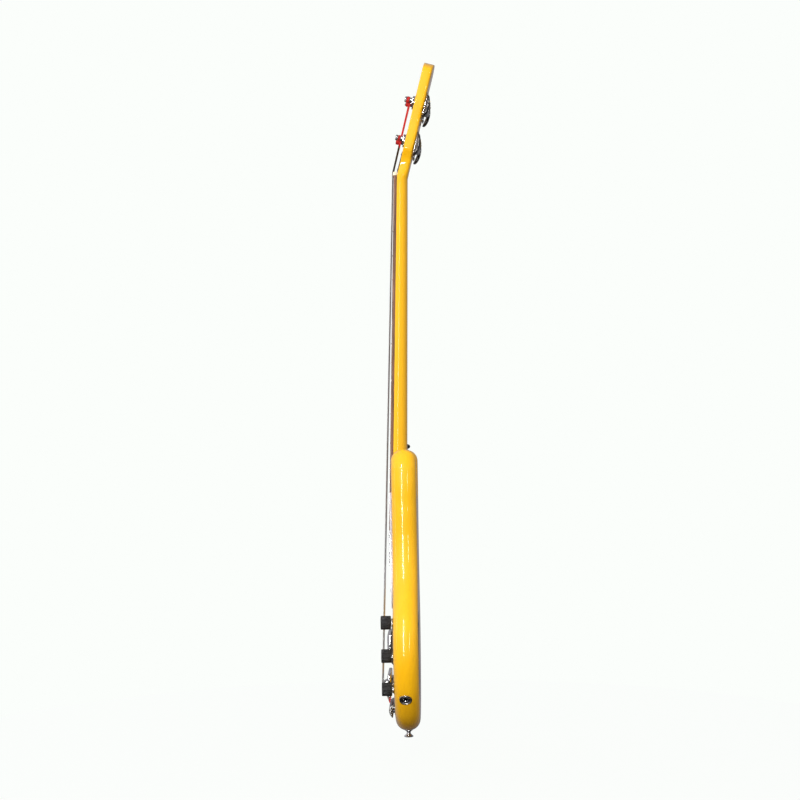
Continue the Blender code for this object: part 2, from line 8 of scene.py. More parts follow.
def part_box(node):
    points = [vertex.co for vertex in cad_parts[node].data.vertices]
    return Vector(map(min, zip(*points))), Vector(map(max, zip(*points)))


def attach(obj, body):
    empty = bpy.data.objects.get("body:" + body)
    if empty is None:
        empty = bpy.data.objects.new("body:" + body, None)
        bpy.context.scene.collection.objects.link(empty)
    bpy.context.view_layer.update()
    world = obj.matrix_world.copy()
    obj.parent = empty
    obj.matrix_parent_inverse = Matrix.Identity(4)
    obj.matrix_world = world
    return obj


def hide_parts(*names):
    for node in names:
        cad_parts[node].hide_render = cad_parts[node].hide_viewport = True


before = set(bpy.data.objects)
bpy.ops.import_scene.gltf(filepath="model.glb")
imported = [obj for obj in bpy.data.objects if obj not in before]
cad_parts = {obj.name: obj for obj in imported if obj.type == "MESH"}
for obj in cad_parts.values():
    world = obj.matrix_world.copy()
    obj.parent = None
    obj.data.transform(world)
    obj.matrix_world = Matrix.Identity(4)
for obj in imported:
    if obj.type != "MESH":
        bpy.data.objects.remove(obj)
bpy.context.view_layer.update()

bl_info = {
    "name": "Electric Bass Guitar",
    "version": (1, 0, 0),
    "blender": (4, 5, 0),
    "location": "View3D > Sidebar > Bass",
    "description": "Builds the finished pieces of a yellow electric bass around its frame, with its studio",
    "category": "Object",
}

MM = 0.001
ROOT = "instrument"

BODY_LOW, BODY_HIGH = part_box("body")
FACE_Y = BODY_LOW.y / MM
BODY_THICK = (BODY_HIGH.y - BODY_LOW.y) / MM
BOUT_RADIUS = BODY_HIGH.x / MM
BODY_END = -BODY_LOW.z / MM
BOUT_CENTRE = BODY_END - BOUT_RADIUS
BOARD_LENGTH = -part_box("fretboard")[0].z / MM
BOARD_HALF_AT_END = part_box("fretboard")[1].x / MM
BOARD_HALF_AT_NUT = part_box("nut")[1].x / MM

SCALE_LENGTH = 863.6
NECK_PITCH = 1.6
HEAD_PITCH = 14.5
HEAD_DROP = 5.8
HEAD_THICK = 17.6
BOARD_THICK = 5.5
POSTS = {"e": (-23.5, 62.0), "a": (-23.5, 129.0), "d": (23.5, 129.0), "g": (23.5, 62.0)}
WORM_OFFSET = 9.0
WORM_OUT = -HEAD_THICK - 5.8
KEY_HUB = 22.5
CONTROLS = ("neck_volume", "bridge_volume", "tone")
JACK_ANGLE = 36.5
BUTTON_LEAN = 35.0

# Name, radius, place across at the nut and at the saddle, and the saddle's place down
STRINGS = (
    ("e", 1.30, -15.5, -28.5, 868.0),
    ("a", 1.05, -5.2, -9.5, 866.5),
    ("d", 0.85, 5.2, 9.5, 865.5),
    ("g", 0.60, 15.5, 28.5, 864.5),
)
STRING_AT_NUT = 2.45
STRING_AT_SADDLE = 22.2
STRING_PAST_NUT = 2.25
STRING_LOW_ON_POST = 9.4
SILK_STARTS_UP = 49.0
SILK_TAIL_SHARE = 0.16
POST_NARROW = 4.3
POST_COIL = 4.2
EAR_REACH = 19
EAR_CURL = 4.5
EAR_LIFT = 0.35
CAMERA_TARGET = (0, 0.0044, -0.3827)
LIGHT_TARGET = (0, 0, -0.45)
# Name, azimuth, height of the middle, distance, width, length, power
LIGHTS = (
    ("strip_side", 79.0, -0.1, 3.0, 0.10, 3.8, 62.0),
    ("strip_back", 117.0, -0.5, 3.0, 0.10, 1.8, 9.0),
    ("strip_front", 4.0, -0.3, 3.0, 0.12, 2.2, 3.0),
    ("soft_front", 68.0, 0.2, 2.8, 1.5, 2.4, 92.0),
    ("soft_back", 150.0, 0.0, 3.0, 1.5, 2.4, 14.0),
)
TAIL_SPOT = (897.5, 9.4)


class BassSizes(bpy.types.PropertyGroup):
    """Sizes of the parts of the finish, in millimetres."""

    edge_radius: FloatProperty(
        name="Edge radius", description="Rounding of the body's rim", default=19.5, min=5, max=20.5
    )
    outline_steps: IntProperty(
        name="Outline steps", description="Mesh steps between two outline points", default=14, min=4, max=24
    )
    fret_height: FloatProperty(
        name="Fret height", description="Height of the fret crowns over the board", default=1.0, min=0.5,
        max=1.4
    )
    fret_count: IntProperty(name="Frets", description="Number of frets", default=20, min=12, max=20)
    guard_thickness: FloatProperty(
        name="Pickguard thickness", description="Thickness of the layered sheet", default=2.5, min=1, max=4
    )
    wrap_turns: FloatProperty(
        name="String wraps", description="Turns of string round each tuner post", default=3.2, min=1, max=4
    )
    cog_teeth: IntProperty(
        name="Cog teeth", description="Teeth of each tuner's cog wheel", default=20, min=12, max=30
    )


class BassColours(bpy.types.PropertyGroup):
    """Colours a player would choose."""

    lacquer: FloatVectorProperty(name="Lacquer", description="Colour of body and neck", subtype="COLOR",
            size=3,
                                 default=(0.93, 0.485, 0.007), min=0, max=1)
    silk: FloatVectorProperty(name="Silk", description="Colour of the thread at the strings' ends",
            subtype="COLOR",
                              size=3, default=(0.62, 0.012, 0.012), min=0, max=1)
    board: FloatVectorProperty(name="Fretboard", description="Main colour of the board's wood",
            subtype="COLOR",
                               size=3, default=(0.095, 0.040, 0.020), min=0, max=1)
    guard: FloatVectorProperty(name="Pickguard", description="Colour of the pickguard's outer layers",
                               subtype="COLOR", size=3, default=(0.74, 0.71, 0.78), min=0, max=1)


class StudioSettings(bpy.types.PropertyGroup):
    """Camera of the studio."""

    distance: FloatProperty(name="Camera distance", description="From the camera to the instrument",
            default=3.5,
                            min=1, unit="LENGTH")
    azimuth: FloatProperty(name="Camera azimuth",
            description="Degrees round from the front, past the treble side",
                           default=91.2)
    roll: FloatProperty(
        name="Camera roll", description="Degrees that the top leans to the left", default=0.89
    )
    lens: FloatProperty(
        name="Lens", description="Focal length in millimetres on a 36 mm sensor", default=91.96
    )


# ---------------------------------------------------------------- places

def face_place(origin_y, pitch):
    """A place whose X runs across, Y up the instrument and Z out of its front."""
    return Matrix.Translation((0, origin_y * MM, 0)) @ Matrix.Rotation(math.radians(90 - pitch), 4, "X")


BODY = face_place(FACE_Y, 0.0)
NECK = face_place(0.0, NECK_PITCH)
HEAD = face_place(HEAD_DROP, HEAD_PITCH)


def at(across, up, out):
    return Matrix.Translation(Vector((across, up, out)) * MM)


def rim_place(across, down, depth, angle):
    """A place on the body's rim whose Z points out, at an angle below the treble side."""
    direction = Vector((math.cos(math.radians(angle)), -math.sin(math.radians(angle)), 0))
    return BODY @ at(across, -down, -depth) @ direction.to_track_quat("Z", "Y").to_matrix().to_4x4()


def neck_half(down):
    return BOARD_HALF_AT_NUT + (BOARD_HALF_AT_END - BOARD_HALF_AT_NUT) * down / BOARD_LENGTH


def arc(centre, radius, start, stop, count):
    """Points on a circle, with angles in degrees from the treble side towards the body's end."""
    turns = [math.radians(start + (stop - start) * i / (count - 1)) for i in range(count)]
    return [(centre[0] + radius * math.cos(turn), centre[1] - radius * math.sin(turn)) for turn in turns]


# ---------------------------------------------------------------- modelling

def fresh():
    """Back to object mode with nothing selected."""
    if bpy.context.mode != "OBJECT":
        bpy.ops.object.mode_set(mode="OBJECT")
    bpy.ops.object.select_all(action="DESELECT")


def pick(item):
    fresh()
    item.select_set(True)
    bpy.context.view_layer.objects.active = item


def settle(item, place=None):
    """Puts a piece in its place and leaves the place in its mesh."""
    pick(item)
    if place is not None:
        item.matrix_world = place
    bpy.ops.object.transform_apply(location=True, rotation=True, scale=True)
    return item


def named(name):
    item = bpy.context.object
    item.name = name
    item.data.name = name
    return item


def edit(item, select="NONE"):
    pick(item)
    bpy.ops.object.mode_set(mode="EDIT")
    bpy.ops.mesh.select_mode(type="FACE")
    bpy.ops.mesh.select_all(action="SELECT" if select == "ALL" else "DESELECT")


def choose_faces(item, test):
    """Selects the faces whose middle and normal pass the test. The piece is in edit mode again after it."""
    edit(item)
    bpy.ops.object.mode_set(mode="OBJECT")
    for polygon in item.data.polygons:
        polygon.select = bool(test(polygon.center, polygon.normal))
    bpy.ops.object.mode_set(mode="EDIT")


def outward(item):
    edit(item, "ALL")
    bpy.ops.mesh.remove_doubles(threshold=0.000001)
    bpy.ops.mesh.normals_make_consistent(inside=False)
    fresh()
    return item


def use_modifier(item, kind, **settings):
    """Adds a modifier with these settings and applies it."""
    pick(item)
    modifier = item.modifiers.new(kind.lower(), kind)
    for key, value in settings.items():
        setattr(modifier, key, value)
    bpy.ops.object.modifier_apply(modifier=modifier.name)
    return item


def soften(item, width, segments=3, angle=40):
    return use_modifier(item, "BEVEL", width=width * MM, segments=segments, limit_method="ANGLE",
                        angle_limit=math.radians(angle), harden_normals=False)


def carve(item, tool, operation="DIFFERENCE"):
    use_modifier(item, "BOOLEAN", object=tool, operation=operation, solver="EXACT")
    bpy.data.objects.remove(tool, do_unlink=True)
    return item


def join(name, items):
    pick(items[0])
    for item in items:
        item.select_set(True)
    bpy.ops.object.join()
    return named(name)


def copy_of(item, name, place=None):
    """A copy with its own mesh."""
    pick(item)
    bpy.ops.object.duplicate(linked=False)
    copied = named(name)
    return settle(copied, place) if place is not None else copied


def block(name, low, high, place, rounding=0.0, segments=3):
    """A box between two corners."""
    fresh()
    middle = (Vector(low) + Vector(high)) / 2 * MM
    bpy.ops.mesh.primitive_cube_add(size=1, location=middle)
    item = named(name)
    item.scale = (Vector(high) - Vector(low)) * MM
    settle(item)
    if rounding:
        soften(item, rounding, segments)
    return settle(item, place)


def turned(name, stations, place, sides=48):
    """A disc extruded and resized from station to station of (radius, height)."""
    fresh()
    radius, height = stations[0]
    bpy.ops.mesh.primitive_circle_add(vertices=sides, radius=radius * MM, fill_type="NGON",
                                      location=(0, 0, height * MM))
    item = settle(named(name))
    edit(item, "ALL")
    for (old, low), (new, high) in zip(stations, stations[1:]):
        bpy.ops.mesh.extrude_region_move(TRANSFORM_OT_translate={"value": (0, 0, (high - low) * MM)})
        if new != old:
            bpy.ops.transform.resize(value=(new / old, new / old, 1), center_override=(0, 0, 0))
    if stations[0] == stations[-1]:
        choose_faces(item, lambda centre, normal: centre.xy.length < 0.1 * MM)
        bpy.ops.mesh.delete(type="FACE")
    outward(item)
    return settle(item, place)


def outline_face(name, outline):
    """A flat face: a disc whose rim is moved onto the outline's points."""
    fresh()
    bpy.ops.mesh.primitive_circle_add(vertices=len(outline), radius=MM, fill_type="NGON")
    item = named(name)
    for vertex, (x, y) in zip(item.data.vertices, outline):
        vertex.co = (x * MM, y * MM, 0)
    return item


def extruded(name, outline, low, high, place, rounding=0.0, segments=2):
    """A flat outline of (across, up) given a thickness from low to high."""
    item = outline_face(name, outline)
    edit(item, "ALL")
    bpy.ops.mesh.extrude_region_move(TRANSFORM_OT_translate={"value": (0, 0, (high - low) * MM)})
    outward(item)
    settle(item, at(0, 0, low))
    if rounding:
        soften(item, rounding, segments)
    return settle(item, place)


def run_across(name, outline, half_width, place, centre=0.0, rounding=0.0):
    """An outline of (up, out) run from side to side. half_width is a number or a function of up."""
    item = extruded(name, outline, -1, 1, Matrix())
    width = half_width if callable(half_width) else lambda up: half_width
    for vertex in item.data.vertices:
        up, out, side = vertex.co
        vertex.co = ((centre + math.copysign(width(up / MM), side)) * MM, up, out)
    outward(item)
    if rounding:
        soften(item, rounding)
    return settle(item, place)


def curved(name, outline, low, high, place, rounding=0.0, steps=10, rim_steps=3):
    """A smooth closed outline of (across, up) with thickness, its rim rounded when asked."""
    fresh()
    curve = bpy.data.curves.new(name, "CURVE")
    curve.dimensions = "2D"
    curve.fill_mode = "BOTH"
    curve.resolution_u = steps
    curve.bevel_resolution = rim_steps
    curve.bevel_depth = rounding * MM
    curve.offset = -rounding * MM
    curve.extrude = ((high - low) / 2 - rounding) * MM
    spline = curve.splines.new("BEZIER")
    spline.bezier_points.add(len(outline) - 1)
    for slot, (x, y) in zip(spline.bezier_points, outline):
        slot.co = (x * MM, y * MM, 0)
    for slot in spline.bezier_points:
        slot.handle_left_type = "AUTO"
        slot.handle_right_type = "AUTO"
    spline.use_cyclic_u = True
    item = bpy.data.objects.new(name, curve)
    bpy.context.scene.collection.objects.link(item)
    pick(item)
    bpy.ops.object.convert(target="MESH")
    outward(item)
    return settle(item, place @ at(0, 0, (low + high) / 2))


def tube(name, points, radius, sides=12, smooth=False):
    """A round tube through points in world metres, with closed ends."""
    fresh()
    curve = bpy.data.curves.new(name, "CURVE")
    curve.dimensions = "3D"
    curve.bevel_depth = radius * MM
    curve.bevel_resolution = sides // 4
    curve.use_fill_caps = True
    curve.resolution_u = 6
    spline = curve.splines.new("NURBS" if smooth else "POLY")
    spline.points.add(len(points) - 1)
    for slot, point in zip(spline.points, points):
        slot.co = (*point, 1.0)
    spline.use_endpoint_u = True
    item = bpy.data.objects.new(name, curve)
    bpy.context.scene.collection.objects.link(item)
    pick(item)
    bpy.ops.object.convert(target="MESH")
    return outward(item)


def lofted(name, rings):
    """A closed skin over rings of points in world millimetres, with its ends filled."""
    sides = len(rings[0])
    fresh()
    bpy.ops.mesh.primitive_grid_add(x_subdivisions=sides, y_subdivisions=len(rings) - 1, size=1)
    item = named(name)
    for vertex, point in zip(
        item.data.vertices, (ring[side % sides] for ring in rings for side in range(sides + 1))
    ):
        vertex.co = Vector(point) * MM
    edit(item, "ALL")
    bpy.ops.mesh.remove_doubles(threshold=0.0000001)
    bpy.ops.mesh.fill_holes(sides=0)
    return outward(item)


def finish_piece(item, material, body=ROOT, stands_for=(), sharp=35, flat_faces=False):
    """Smooths, paints and seats one finished piece.

    flat_faces keeps large flat faces flat where they meet curves.
    """
    pick(item)
    bpy.ops.object.shade_smooth_by_angle(angle=math.radians(sharp))
    if flat_faces:
        use_modifier(item, "WEIGHTED_NORMAL", mode="FACE_AREA", keep_sharp=True)
    item.data.materials.clear()
    item.data.materials.append(material)
    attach(item, body)
    if stands_for:
        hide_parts(*stands_for)
    return item


def repaint(node, material):
    """Gives a CAD node that stays visible its finished material."""
    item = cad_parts[node]
    item.data.materials.clear()
    item.data.materials.append(material)


# ---------------------------------------------------------------- finishes

def node(tree, kind, sockets=None, **settings):
    """A shader node. A socket is given a value, or another node's output to read."""
    made = tree.nodes.new("ShaderNode" + kind)
    for key, value in settings.items():
        setattr(made, key, value)
    for key, value in (sockets or {}).items():
        if isinstance(value, bpy.types.NodeSocket):
            tree.links.new(value, made.inputs[key])
        else:
            made.inputs[key].default_value = value
    return made


def effect(name, inputs, outputs):
    """An empty node group. Its inputs are (name, kind, default) and its outputs (name, kind)."""
    tree = bpy.data.node_groups.new(name, "ShaderNodeTree")
    for label, kind, value in inputs:
        socket = tree.interface.new_socket(name=label, in_out="INPUT", socket_type="NodeSocket" + kind)
        socket.default_value = value
    for label, kind in outputs:
        tree.interface.new_socket(name=label, in_out="OUTPUT", socket_type="NodeSocket" + kind)
    return tree, tree.nodes.new("NodeGroupInput").outputs, tree.nodes.new("NodeGroupOutput").inputs


def maths(tree, operation, first, second=0.0, clamp=False):
    made = tree.nodes.new("ShaderNodeMath")
    made.operation = operation
    made.use_clamp = clamp
    for slot, value in enumerate((first, second)):
        if isinstance(value, bpy.types.NodeSocket):
            tree.links.new(value, made.inputs[slot])
        else:
            made.inputs[slot].default_value = value
    return made.outputs[0]


def ranged(tree, value, low, high, to_low=0.0, to_high=1.0):
    made = node(
        tree, "MapRange",
        {"Value": value, "From Min": low, "From Max": high, "To Min": to_low, "To Max": to_high}
    )
    return made.outputs["Result"]


def mixed(tree, factor, first, second, blend="MIX"):
    """Two colours mixed. Each may be a colour or an output to read."""
    made = tree.nodes.new("ShaderNodeMix")
    made.data_type = "RGBA"
    made.blend_type = blend
    for slot, value in ((0, factor), (6, first), (7, second)):
        if isinstance(value, bpy.types.NodeSocket):
            tree.links.new(value, made.inputs[slot])
        else:
            made.inputs[slot].default_value = (*value, 1.0) if slot and len(value) == 3 else value
    return made.outputs[2]


def stretched(tree, scale):
    """Object coordinates pressed along each axis, so that a pattern is drawn out."""
    coords = node(tree, "TexCoord").outputs["Object"]
    return node(tree, "Mapping", {"Vector": coords, "Scale": scale}).outputs["Vector"]


def noise(tree, vector, scale, detail=3.0, roughness=0.55, distortion=0.0):
    return node(tree, "TexNoise", {"Vector": vector, "Scale": scale, "Detail": detail,
            "Roughness": roughness,
                                   "Distortion": distortion}).outputs["Fac"]


def build_handled():
    """Roughness of a surface that hands have touched: broad smears, and fine specks in them."""
    tree, given, result = effect("Handled", [("Smooth", "Float", 0.2), ("Smeared", "Float", 0.3),
                                             ("Scale", "Float", 1.0)], [
                                                 ("Roughness", "Float"), ("Specks", "Float")
                                             ])
    coords = node(tree, "TexCoord").outputs["Object"]
    scaled = node(tree, "VectorMath", {0: coords, 1: (1, 1, 1)}, operation="MULTIPLY")
    combined = node(tree, "CombineXYZ", {"X": given["Scale"], "Y": given["Scale"], "Z": given["Scale"]})
    tree.links.new(combined.outputs[0], scaled.inputs[1])
    smears = ranged(tree, noise(tree, scaled.outputs[0], 22.0, 4.0, 0.6, 1.2), 0.42, 0.68)
    specks = ranged(tree, noise(tree, scaled.outputs[0], 900.0, 2.0), 0.56, 0.72)
    blended = maths(tree, "ADD", smears, maths(tree, "MULTIPLY", specks, 0.35), clamp=True)
    span = maths(tree, "SUBTRACT", given["Smeared"], given["Smooth"])
    tree.links.new(
        maths(tree, "ADD", given["Smooth"], maths(tree, "MULTIPLY", blended, span)), result["Roughness"]
    )
    tree.links.new(specks, result["Specks"])
    return tree


def build_edge_wear():
    """Where outer edges are rubbed: high on sharp edges, broken up by grain."""
    tree, given, result = effect(
        "Edge Wear", [("Amount", "Float", 0.5), ("Grain", "Float", 300.0)], [("Mask", "Float")]
    )
    coords = node(tree, "TexCoord").outputs["Object"]
    edges = ranged(tree, node(tree, "NewGeometry").outputs["Pointiness"], 0.53, 0.64)
    broken = ranged(tree, noise(tree, coords, given["Grain"], 3.0), 0.35, 0.7)
    tree.links.new(maths(
        tree, "MULTIPLY", maths(tree, "MULTIPLY", edges, broken), given["Amount"], clamp=True
    ),
                   result["Mask"])
    return tree


def build_grain():
    """Long wood grain up the instrument: its tone, and the pores that break it."""
    tree, given, result = effect(
        "Wood Grain", [("Fineness", "Float", 1.0)], [("Tone", "Float"), ("Pores", "Float")]
    )
    coords = stretched(tree, (1.0, 1.0, 0.045))
    band_size = maths(tree, "MULTIPLY", given["Fineness"], 55.0)
    bands = noise(tree, coords, band_size, 5.0, 0.6, 1.5)
    fibre_size = maths(tree, "MULTIPLY", given["Fineness"], 900.0)
    fibres = noise(tree, stretched(tree, (1.0, 1.0, 0.02)), fibre_size, 2.0)
    tone = maths(tree, "ADD", maths(tree, "MULTIPLY", bands, 0.7), maths(tree, "MULTIPLY", fibres, 0.3))
    tree.links.new(ranged(tree, tone, 0.36, 0.64), result["Tone"])
    pore_size = maths(tree, "MULTIPLY", given["Fineness"], 1500.0)
    pores = noise(tree, stretched(tree, (1.0, 1.0, 0.055)), pore_size, 1.0)
    tree.links.new(ranged(tree, pores, 0.62, 0.72), result["Pores"])
    return tree


def build_brushed():
    """Fine parallel polishing marks, as a height. Draw says along which axis they run, as a small scale."""
    tree, given, result = effect(
        "Polishing Marks", [("Draw", "Vector", (1.0, 1.0, 0.03))], [("Height", "Float")]
    )
    coords = node(tree, "TexCoord").outputs["Object"]
    drawn = node(tree, "VectorMath", {0: coords, 1: given["Draw"]}, operation="MULTIPLY").outputs[0]
    tree.links.new(noise(tree, drawn, 2600.0, 2.0, 0.7), result["Height"])
    return tree


def use(tree, group, **values):
    """A group placed in a material, with its own values."""
    made = tree.nodes.new("ShaderNodeGroup")
    made.node_tree = group
    for key, value in values.items():
        made.inputs[key].default_value = value
    return made.outputs


def finish_of(name, colour, metallic=0.0, **constants):
    """A new material: its tree and its shader, with the values that are the same all over."""
    made = bpy.data.materials.new(name)
    made.use_nodes = True
    made.diffuse_color = (*colour, 1.0)
    made.metallic = metallic
    shader = made.node_tree.nodes["Principled BSDF"]
    shader.inputs["Base Color"].default_value = (*colour, 1.0)
    shader.inputs["Metallic"].default_value = metallic
    for key, value in constants.items():
        shader.inputs[key.replace("_", " ")].default_value = value
    return made, made.node_tree, shader


def bump(tree, shader, height, strength, depth_mm):
    made = node(tree, "Bump", {"Height": height, "Strength": strength, "Distance": depth_mm * MM})
    tree.links.new(made.outputs["Normal"], shader.inputs["Normal"])


def feed(tree, source, shader, socket):
    tree.links.new(source, shader.inputs[socket])


def darker(colour, factor):
    return tuple(channel * factor for channel in colour)


class Finishes:
    """Every material of the instrument, made once."""

    def __init__(self, colours):
        self.handled = build_handled()
        self.wear = build_edge_wear()
        self.grain = build_grain()
        self.marks = build_brushed()
        self.lacquer = self.make_lacquer(tuple(colours.lacquer))
        self.rosewood = self.make_rosewood(tuple(colours.board))
        self.bone = self.make_plain("Cream Bone", (0.80, 0.66, 0.44), 0.30, 0.45, wear=0.35, coat=0.1)
        self.chrome = self.make_metal("Chrome Plate", (0.66, 0.65, 0.64), 0.05, 0.16)
        # A dark copy of the chrome: painted dark reflection, for the tuner keys and the tailpiece.
        self.dark_reflection_chrome = self.make_metal("Chrome With Painted Dark Reflection", (0.17, 0.16, 0.15), 0.26, 0.36)
        self.steel = self.make_metal("Turned Steel", (0.50, 0.48, 0.46), 0.26, 0.42, marks=0.25)
        self.nickel = self.make_metal(
            "Fret Nickel", (0.66, 0.62, 0.56), 0.24, 0.36, marks=0.15, draw=(0.03, 1, 1)
        )
        self.brass = self.make_metal("Brass Gear", (0.62, 0.44, 0.17), 0.24, 0.40, marks=0.2)
        self.black = self.make_plain(
            "Black Plastic", (0.007, 0.007, 0.0075), 0.40, 0.55, wear=0.06, coat=0.0, rough_skin=0.10
        )
        self.ring = self.make_plain(
            "Brown Black Plastic", (0.030, 0.016, 0.010), 0.22, 0.38, wear=0.15, coat=0.2
        )
        self.guard = self.make_guard(tuple(colours.guard))
        self.pearl = self.make_pearl()
        self.silk = self.make_thread("Silk Thread", tuple(colours.silk), 0.0, 0.55)
        self.winding = self.make_thread("Steel Winding", (0.60, 0.585, 0.565), 0.7, 0.38)
        # A near-black copy of the steel winding: painted shade for the run from the nut to the silk.
        self.shaded_winding = self.make_thread("Painted Shade Winding", (0.10, 0.085, 0.075), 1.0, 0.34)
        self.felt = self.make_felt()

    def rough(self, tree, shader, smooth, smeared, scale=1.0):
        outputs = use(tree, self.handled, Smooth=smooth, Smeared=smeared, Scale=scale)
        feed(tree, outputs["Roughness"], shader, "Roughness")
        return outputs

    def make_lacquer(self, colour):
        made, tree, shader = finish_of("Yellow Lacquer", colour, Coat_Weight=1.0, Coat_Roughness=0.035,
        Coat_IOR=1.5,
                                       Specular_IOR_Level=0.2)
        grain = use(tree, self.grain, Fineness=0.9)
        deep = (colour[0] * 0.93, colour[1] * 0.86, colour[2] * 0.8)
        shade = mixed(tree, maths(tree, "MULTIPLY", grain["Tone"], 0.55), colour, deep)
        rubbed = use(tree, self.wear, Amount=0.25, Grain=500.0)
        feed(tree, mixed(tree, rubbed["Mask"], shade, (0.95, 0.62, 0.10)), shader, "Base Color")
        self.rough(tree, shader, 0.30, 0.42, 0.7)
        peel = noise(tree, node(tree, "TexCoord").outputs["Object"], 420.0, 2.0)
        bump(tree, shader, peel, 0.05, 0.08)
        return made

    def make_rosewood(self, colour):
        made, tree, shader = finish_of("Oiled Rosewood", colour, Specular_IOR_Level=0.4)
        grain = use(tree, self.grain, Fineness=1.6)
        light = (colour[0] * 2.3, colour[1] * 2.2, colour[2] * 2.0)
        shade = mixed(tree, grain["Tone"], darker(colour, 0.55), light)
        shade = mixed(tree, grain["Pores"], shade, darker(colour, 0.22))
        rubbed = use(tree, self.wear, Amount=0.5, Grain=220.0)
        feed(tree, mixed(tree, rubbed["Mask"], shade, darker(light, 1.35)), shader, "Base Color")
        self.rough(tree, shader, 0.34, 0.58, 1.4)
        bump(tree, shader, maths(tree, "SUBTRACT", 1.0, grain["Pores"]), 0.35, 0.12)
        return made

    def make_metal(self, name, colour, smooth, smeared, marks=0.06, draw=(1, 1, 0.03)):
        made, tree, shader = finish_of(name, colour, 1.0)
        outputs = self.rough(tree, shader, smooth, smeared, 3.0)
        tarnish = mixed(
            tree, maths(tree, "MULTIPLY", outputs["Specks"], 0.45), colour, darker(colour, 0.55)
        )
        feed(tree, tarnish, shader, "Base Color")
        bump(tree, shader, use(tree, self.marks, Draw=draw)["Height"], marks, 0.02)
        return made

    def make_plain(self, name, colour, smooth, smeared, wear=0.2, coat=0.0, rough_skin=0.05):
        """Moulded plastic or bone: slight mottling, rubbed edges and a fine skin."""
        made, tree, shader = finish_of(name, colour, Coat_Weight=coat, Coat_Roughness=0.15)
        coords = node(tree, "TexCoord").outputs["Object"]
        mottle = ranged(tree, noise(tree, coords, 140.0, 4.0), 0.35, 0.7)
        shade = mixed(tree, maths(tree, "MULTIPLY", mottle, 0.4), colour, darker(colour, 0.72))
        rubbed = use(tree, self.wear, Amount=wear, Grain=420.0)
        bright = tuple(min(1.0, channel * 1.3 + 0.06) for channel in colour)
        feed(tree, mixed(tree, rubbed["Mask"], shade, bright), shader, "Base Color")
        self.rough(tree, shader, smooth, smeared, 2.0)
        bump(tree, shader, noise(tree, coords, 2400.0, 1.0), rough_skin, 0.05)
        return made

    def make_guard(self, colour):
        """Layered sheet: two pale layers with a dark one between, seen where its edge is cut."""
        made, tree, shader = finish_of("Layered Sheet", colour, Coat_Weight=0.35, Coat_Roughness=0.08)
        coords = node(tree, "TexCoord").outputs["Object"]
        depth = maths(tree, "MULTIPLY", node(tree, "SeparateXYZ", {0: coords}).outputs["Y"], 1 / MM)
        from_face = maths(tree, "SUBTRACT", FACE_Y, depth)
        middle = maths(tree, "MULTIPLY", maths(tree, "GREATER_THAN", from_face, 1.05),
                       maths(tree, "LESS_THAN", from_face, 1.65))
        swirl = ranged(tree, noise(tree, coords, 34.0, 4.0, 0.6, 2.5), 0.35, 0.68)
        pale = mixed(
            tree, maths(tree, "MULTIPLY", swirl, 0.5), colour, tuple(min(1.0, c * 1.12) for c in colour)
        )
        feed(tree, mixed(tree, middle, pale, (0.10, 0.09, 0.12)), shader, "Base Color")
        self.rough(tree, shader, 0.20, 0.34, 1.0)
        bump(tree, shader, noise(tree, coords, 1500.0, 1.0), 0.04, 0.05)
        return made

    def make_pearl(self):
        made, tree, shader = finish_of(
            "Pearl Inlay", (0.78, 0.77, 0.72), Coat_Weight=0.6, Coat_Roughness=0.05
        )
        coords = node(tree, "TexCoord").outputs["Object"]
        swirl = ranged(tree, noise(tree, coords, 260.0, 4.0, 0.6, 3.0), 0.32, 0.7)
        warm = mixed(tree, swirl, (0.86, 0.84, 0.78), (0.55, 0.60, 0.60))
        feed(tree, warm, shader, "Base Color")
        self.rough(tree, shader, 0.16, 0.28, 2.0)
        bump(tree, shader, swirl, 0.08, 0.05)
        return made

    def make_thread(self, name, colour, metallic, smooth):
        """Turns of wire or thread round a string, read from the turns attribute that its tube carries, with
        painted shade in the grooves between turns.
        """
        made, tree, shader = finish_of(name, colour, metallic)
        along = node(tree, "Attribute", attribute_name="turns").outputs["Fac"]
        wave = maths(tree, "ABSOLUTE", maths(tree, "SINE", maths(tree, "MULTIPLY", along, math.pi)))
        # Painted shade: the colour falls to about a third in the grooves between turns.
        shade = mixed(tree, maths(tree, "POWER", wave, 0.6), darker(colour, 0.35), colour)
        outputs = self.rough(tree, shader, smooth, smooth + 0.15, 4.0)
        feed(tree, mixed(tree, maths(tree, "MULTIPLY", outputs["Specks"], 0.4), shade, darker(colour, 0.6)),
             shader, "Base Color")
        bump(tree, shader, wave, 0.7, 0.12)
        return made

    def make_felt(self):
        made, tree, shader = finish_of(
            "Black Felt", (0.02, 0.02, 0.022), Sheen_Weight=0.5, Sheen_Roughness=0.5
        )
        coords = node(tree, "TexCoord").outputs["Object"]
        fibres = noise(tree, coords, 1800.0, 4.0, 0.8)
        feed(tree, mixed(tree, fibres, (0.012, 0.012, 0.014), (0.06, 0.06, 0.065)), shader, "Base Color")
        shader.inputs["Roughness"].default_value = 0.9
        bump(tree, shader, fibres, 0.8, 0.3)
        return made


FINISH = {}


def look(name):
    """A finish by name. They are all made when the first is asked for."""
    if "all" not in FINISH:
        FINISH["all"] = Finishes(bpy.context.scene.bass_colours)
    return getattr(FINISH["all"], name)


# ---------------------------------------------------------------- repeated fittings

def screw_head(name, radius, height, place, cross=True):
    """A domed head with a cross cut in it, or one slot."""
    dome = [(radius, 0), (radius, height * 0.25), (radius * 0.92, height * 0.6),
            (radius * 0.7, height * 0.88),
            (radius * 0.4, height), (0.02, height * 1.02)]
    head = turned(name, dome, Matrix(), 24)
    reach, width = (radius * 0.55, radius * 0.12) if cross else (radius * 1.1, radius * 0.13)
    low, high = height * 0.35, height * 1.3
    carve(head, block(name + "_slot", (-reach, -width, low), (reach, width, high), Matrix()))
    if cross:
        carve(head, block(name + "_slot", (-width, -reach, low), (width, reach, high), Matrix()))
    return settle(head, place)


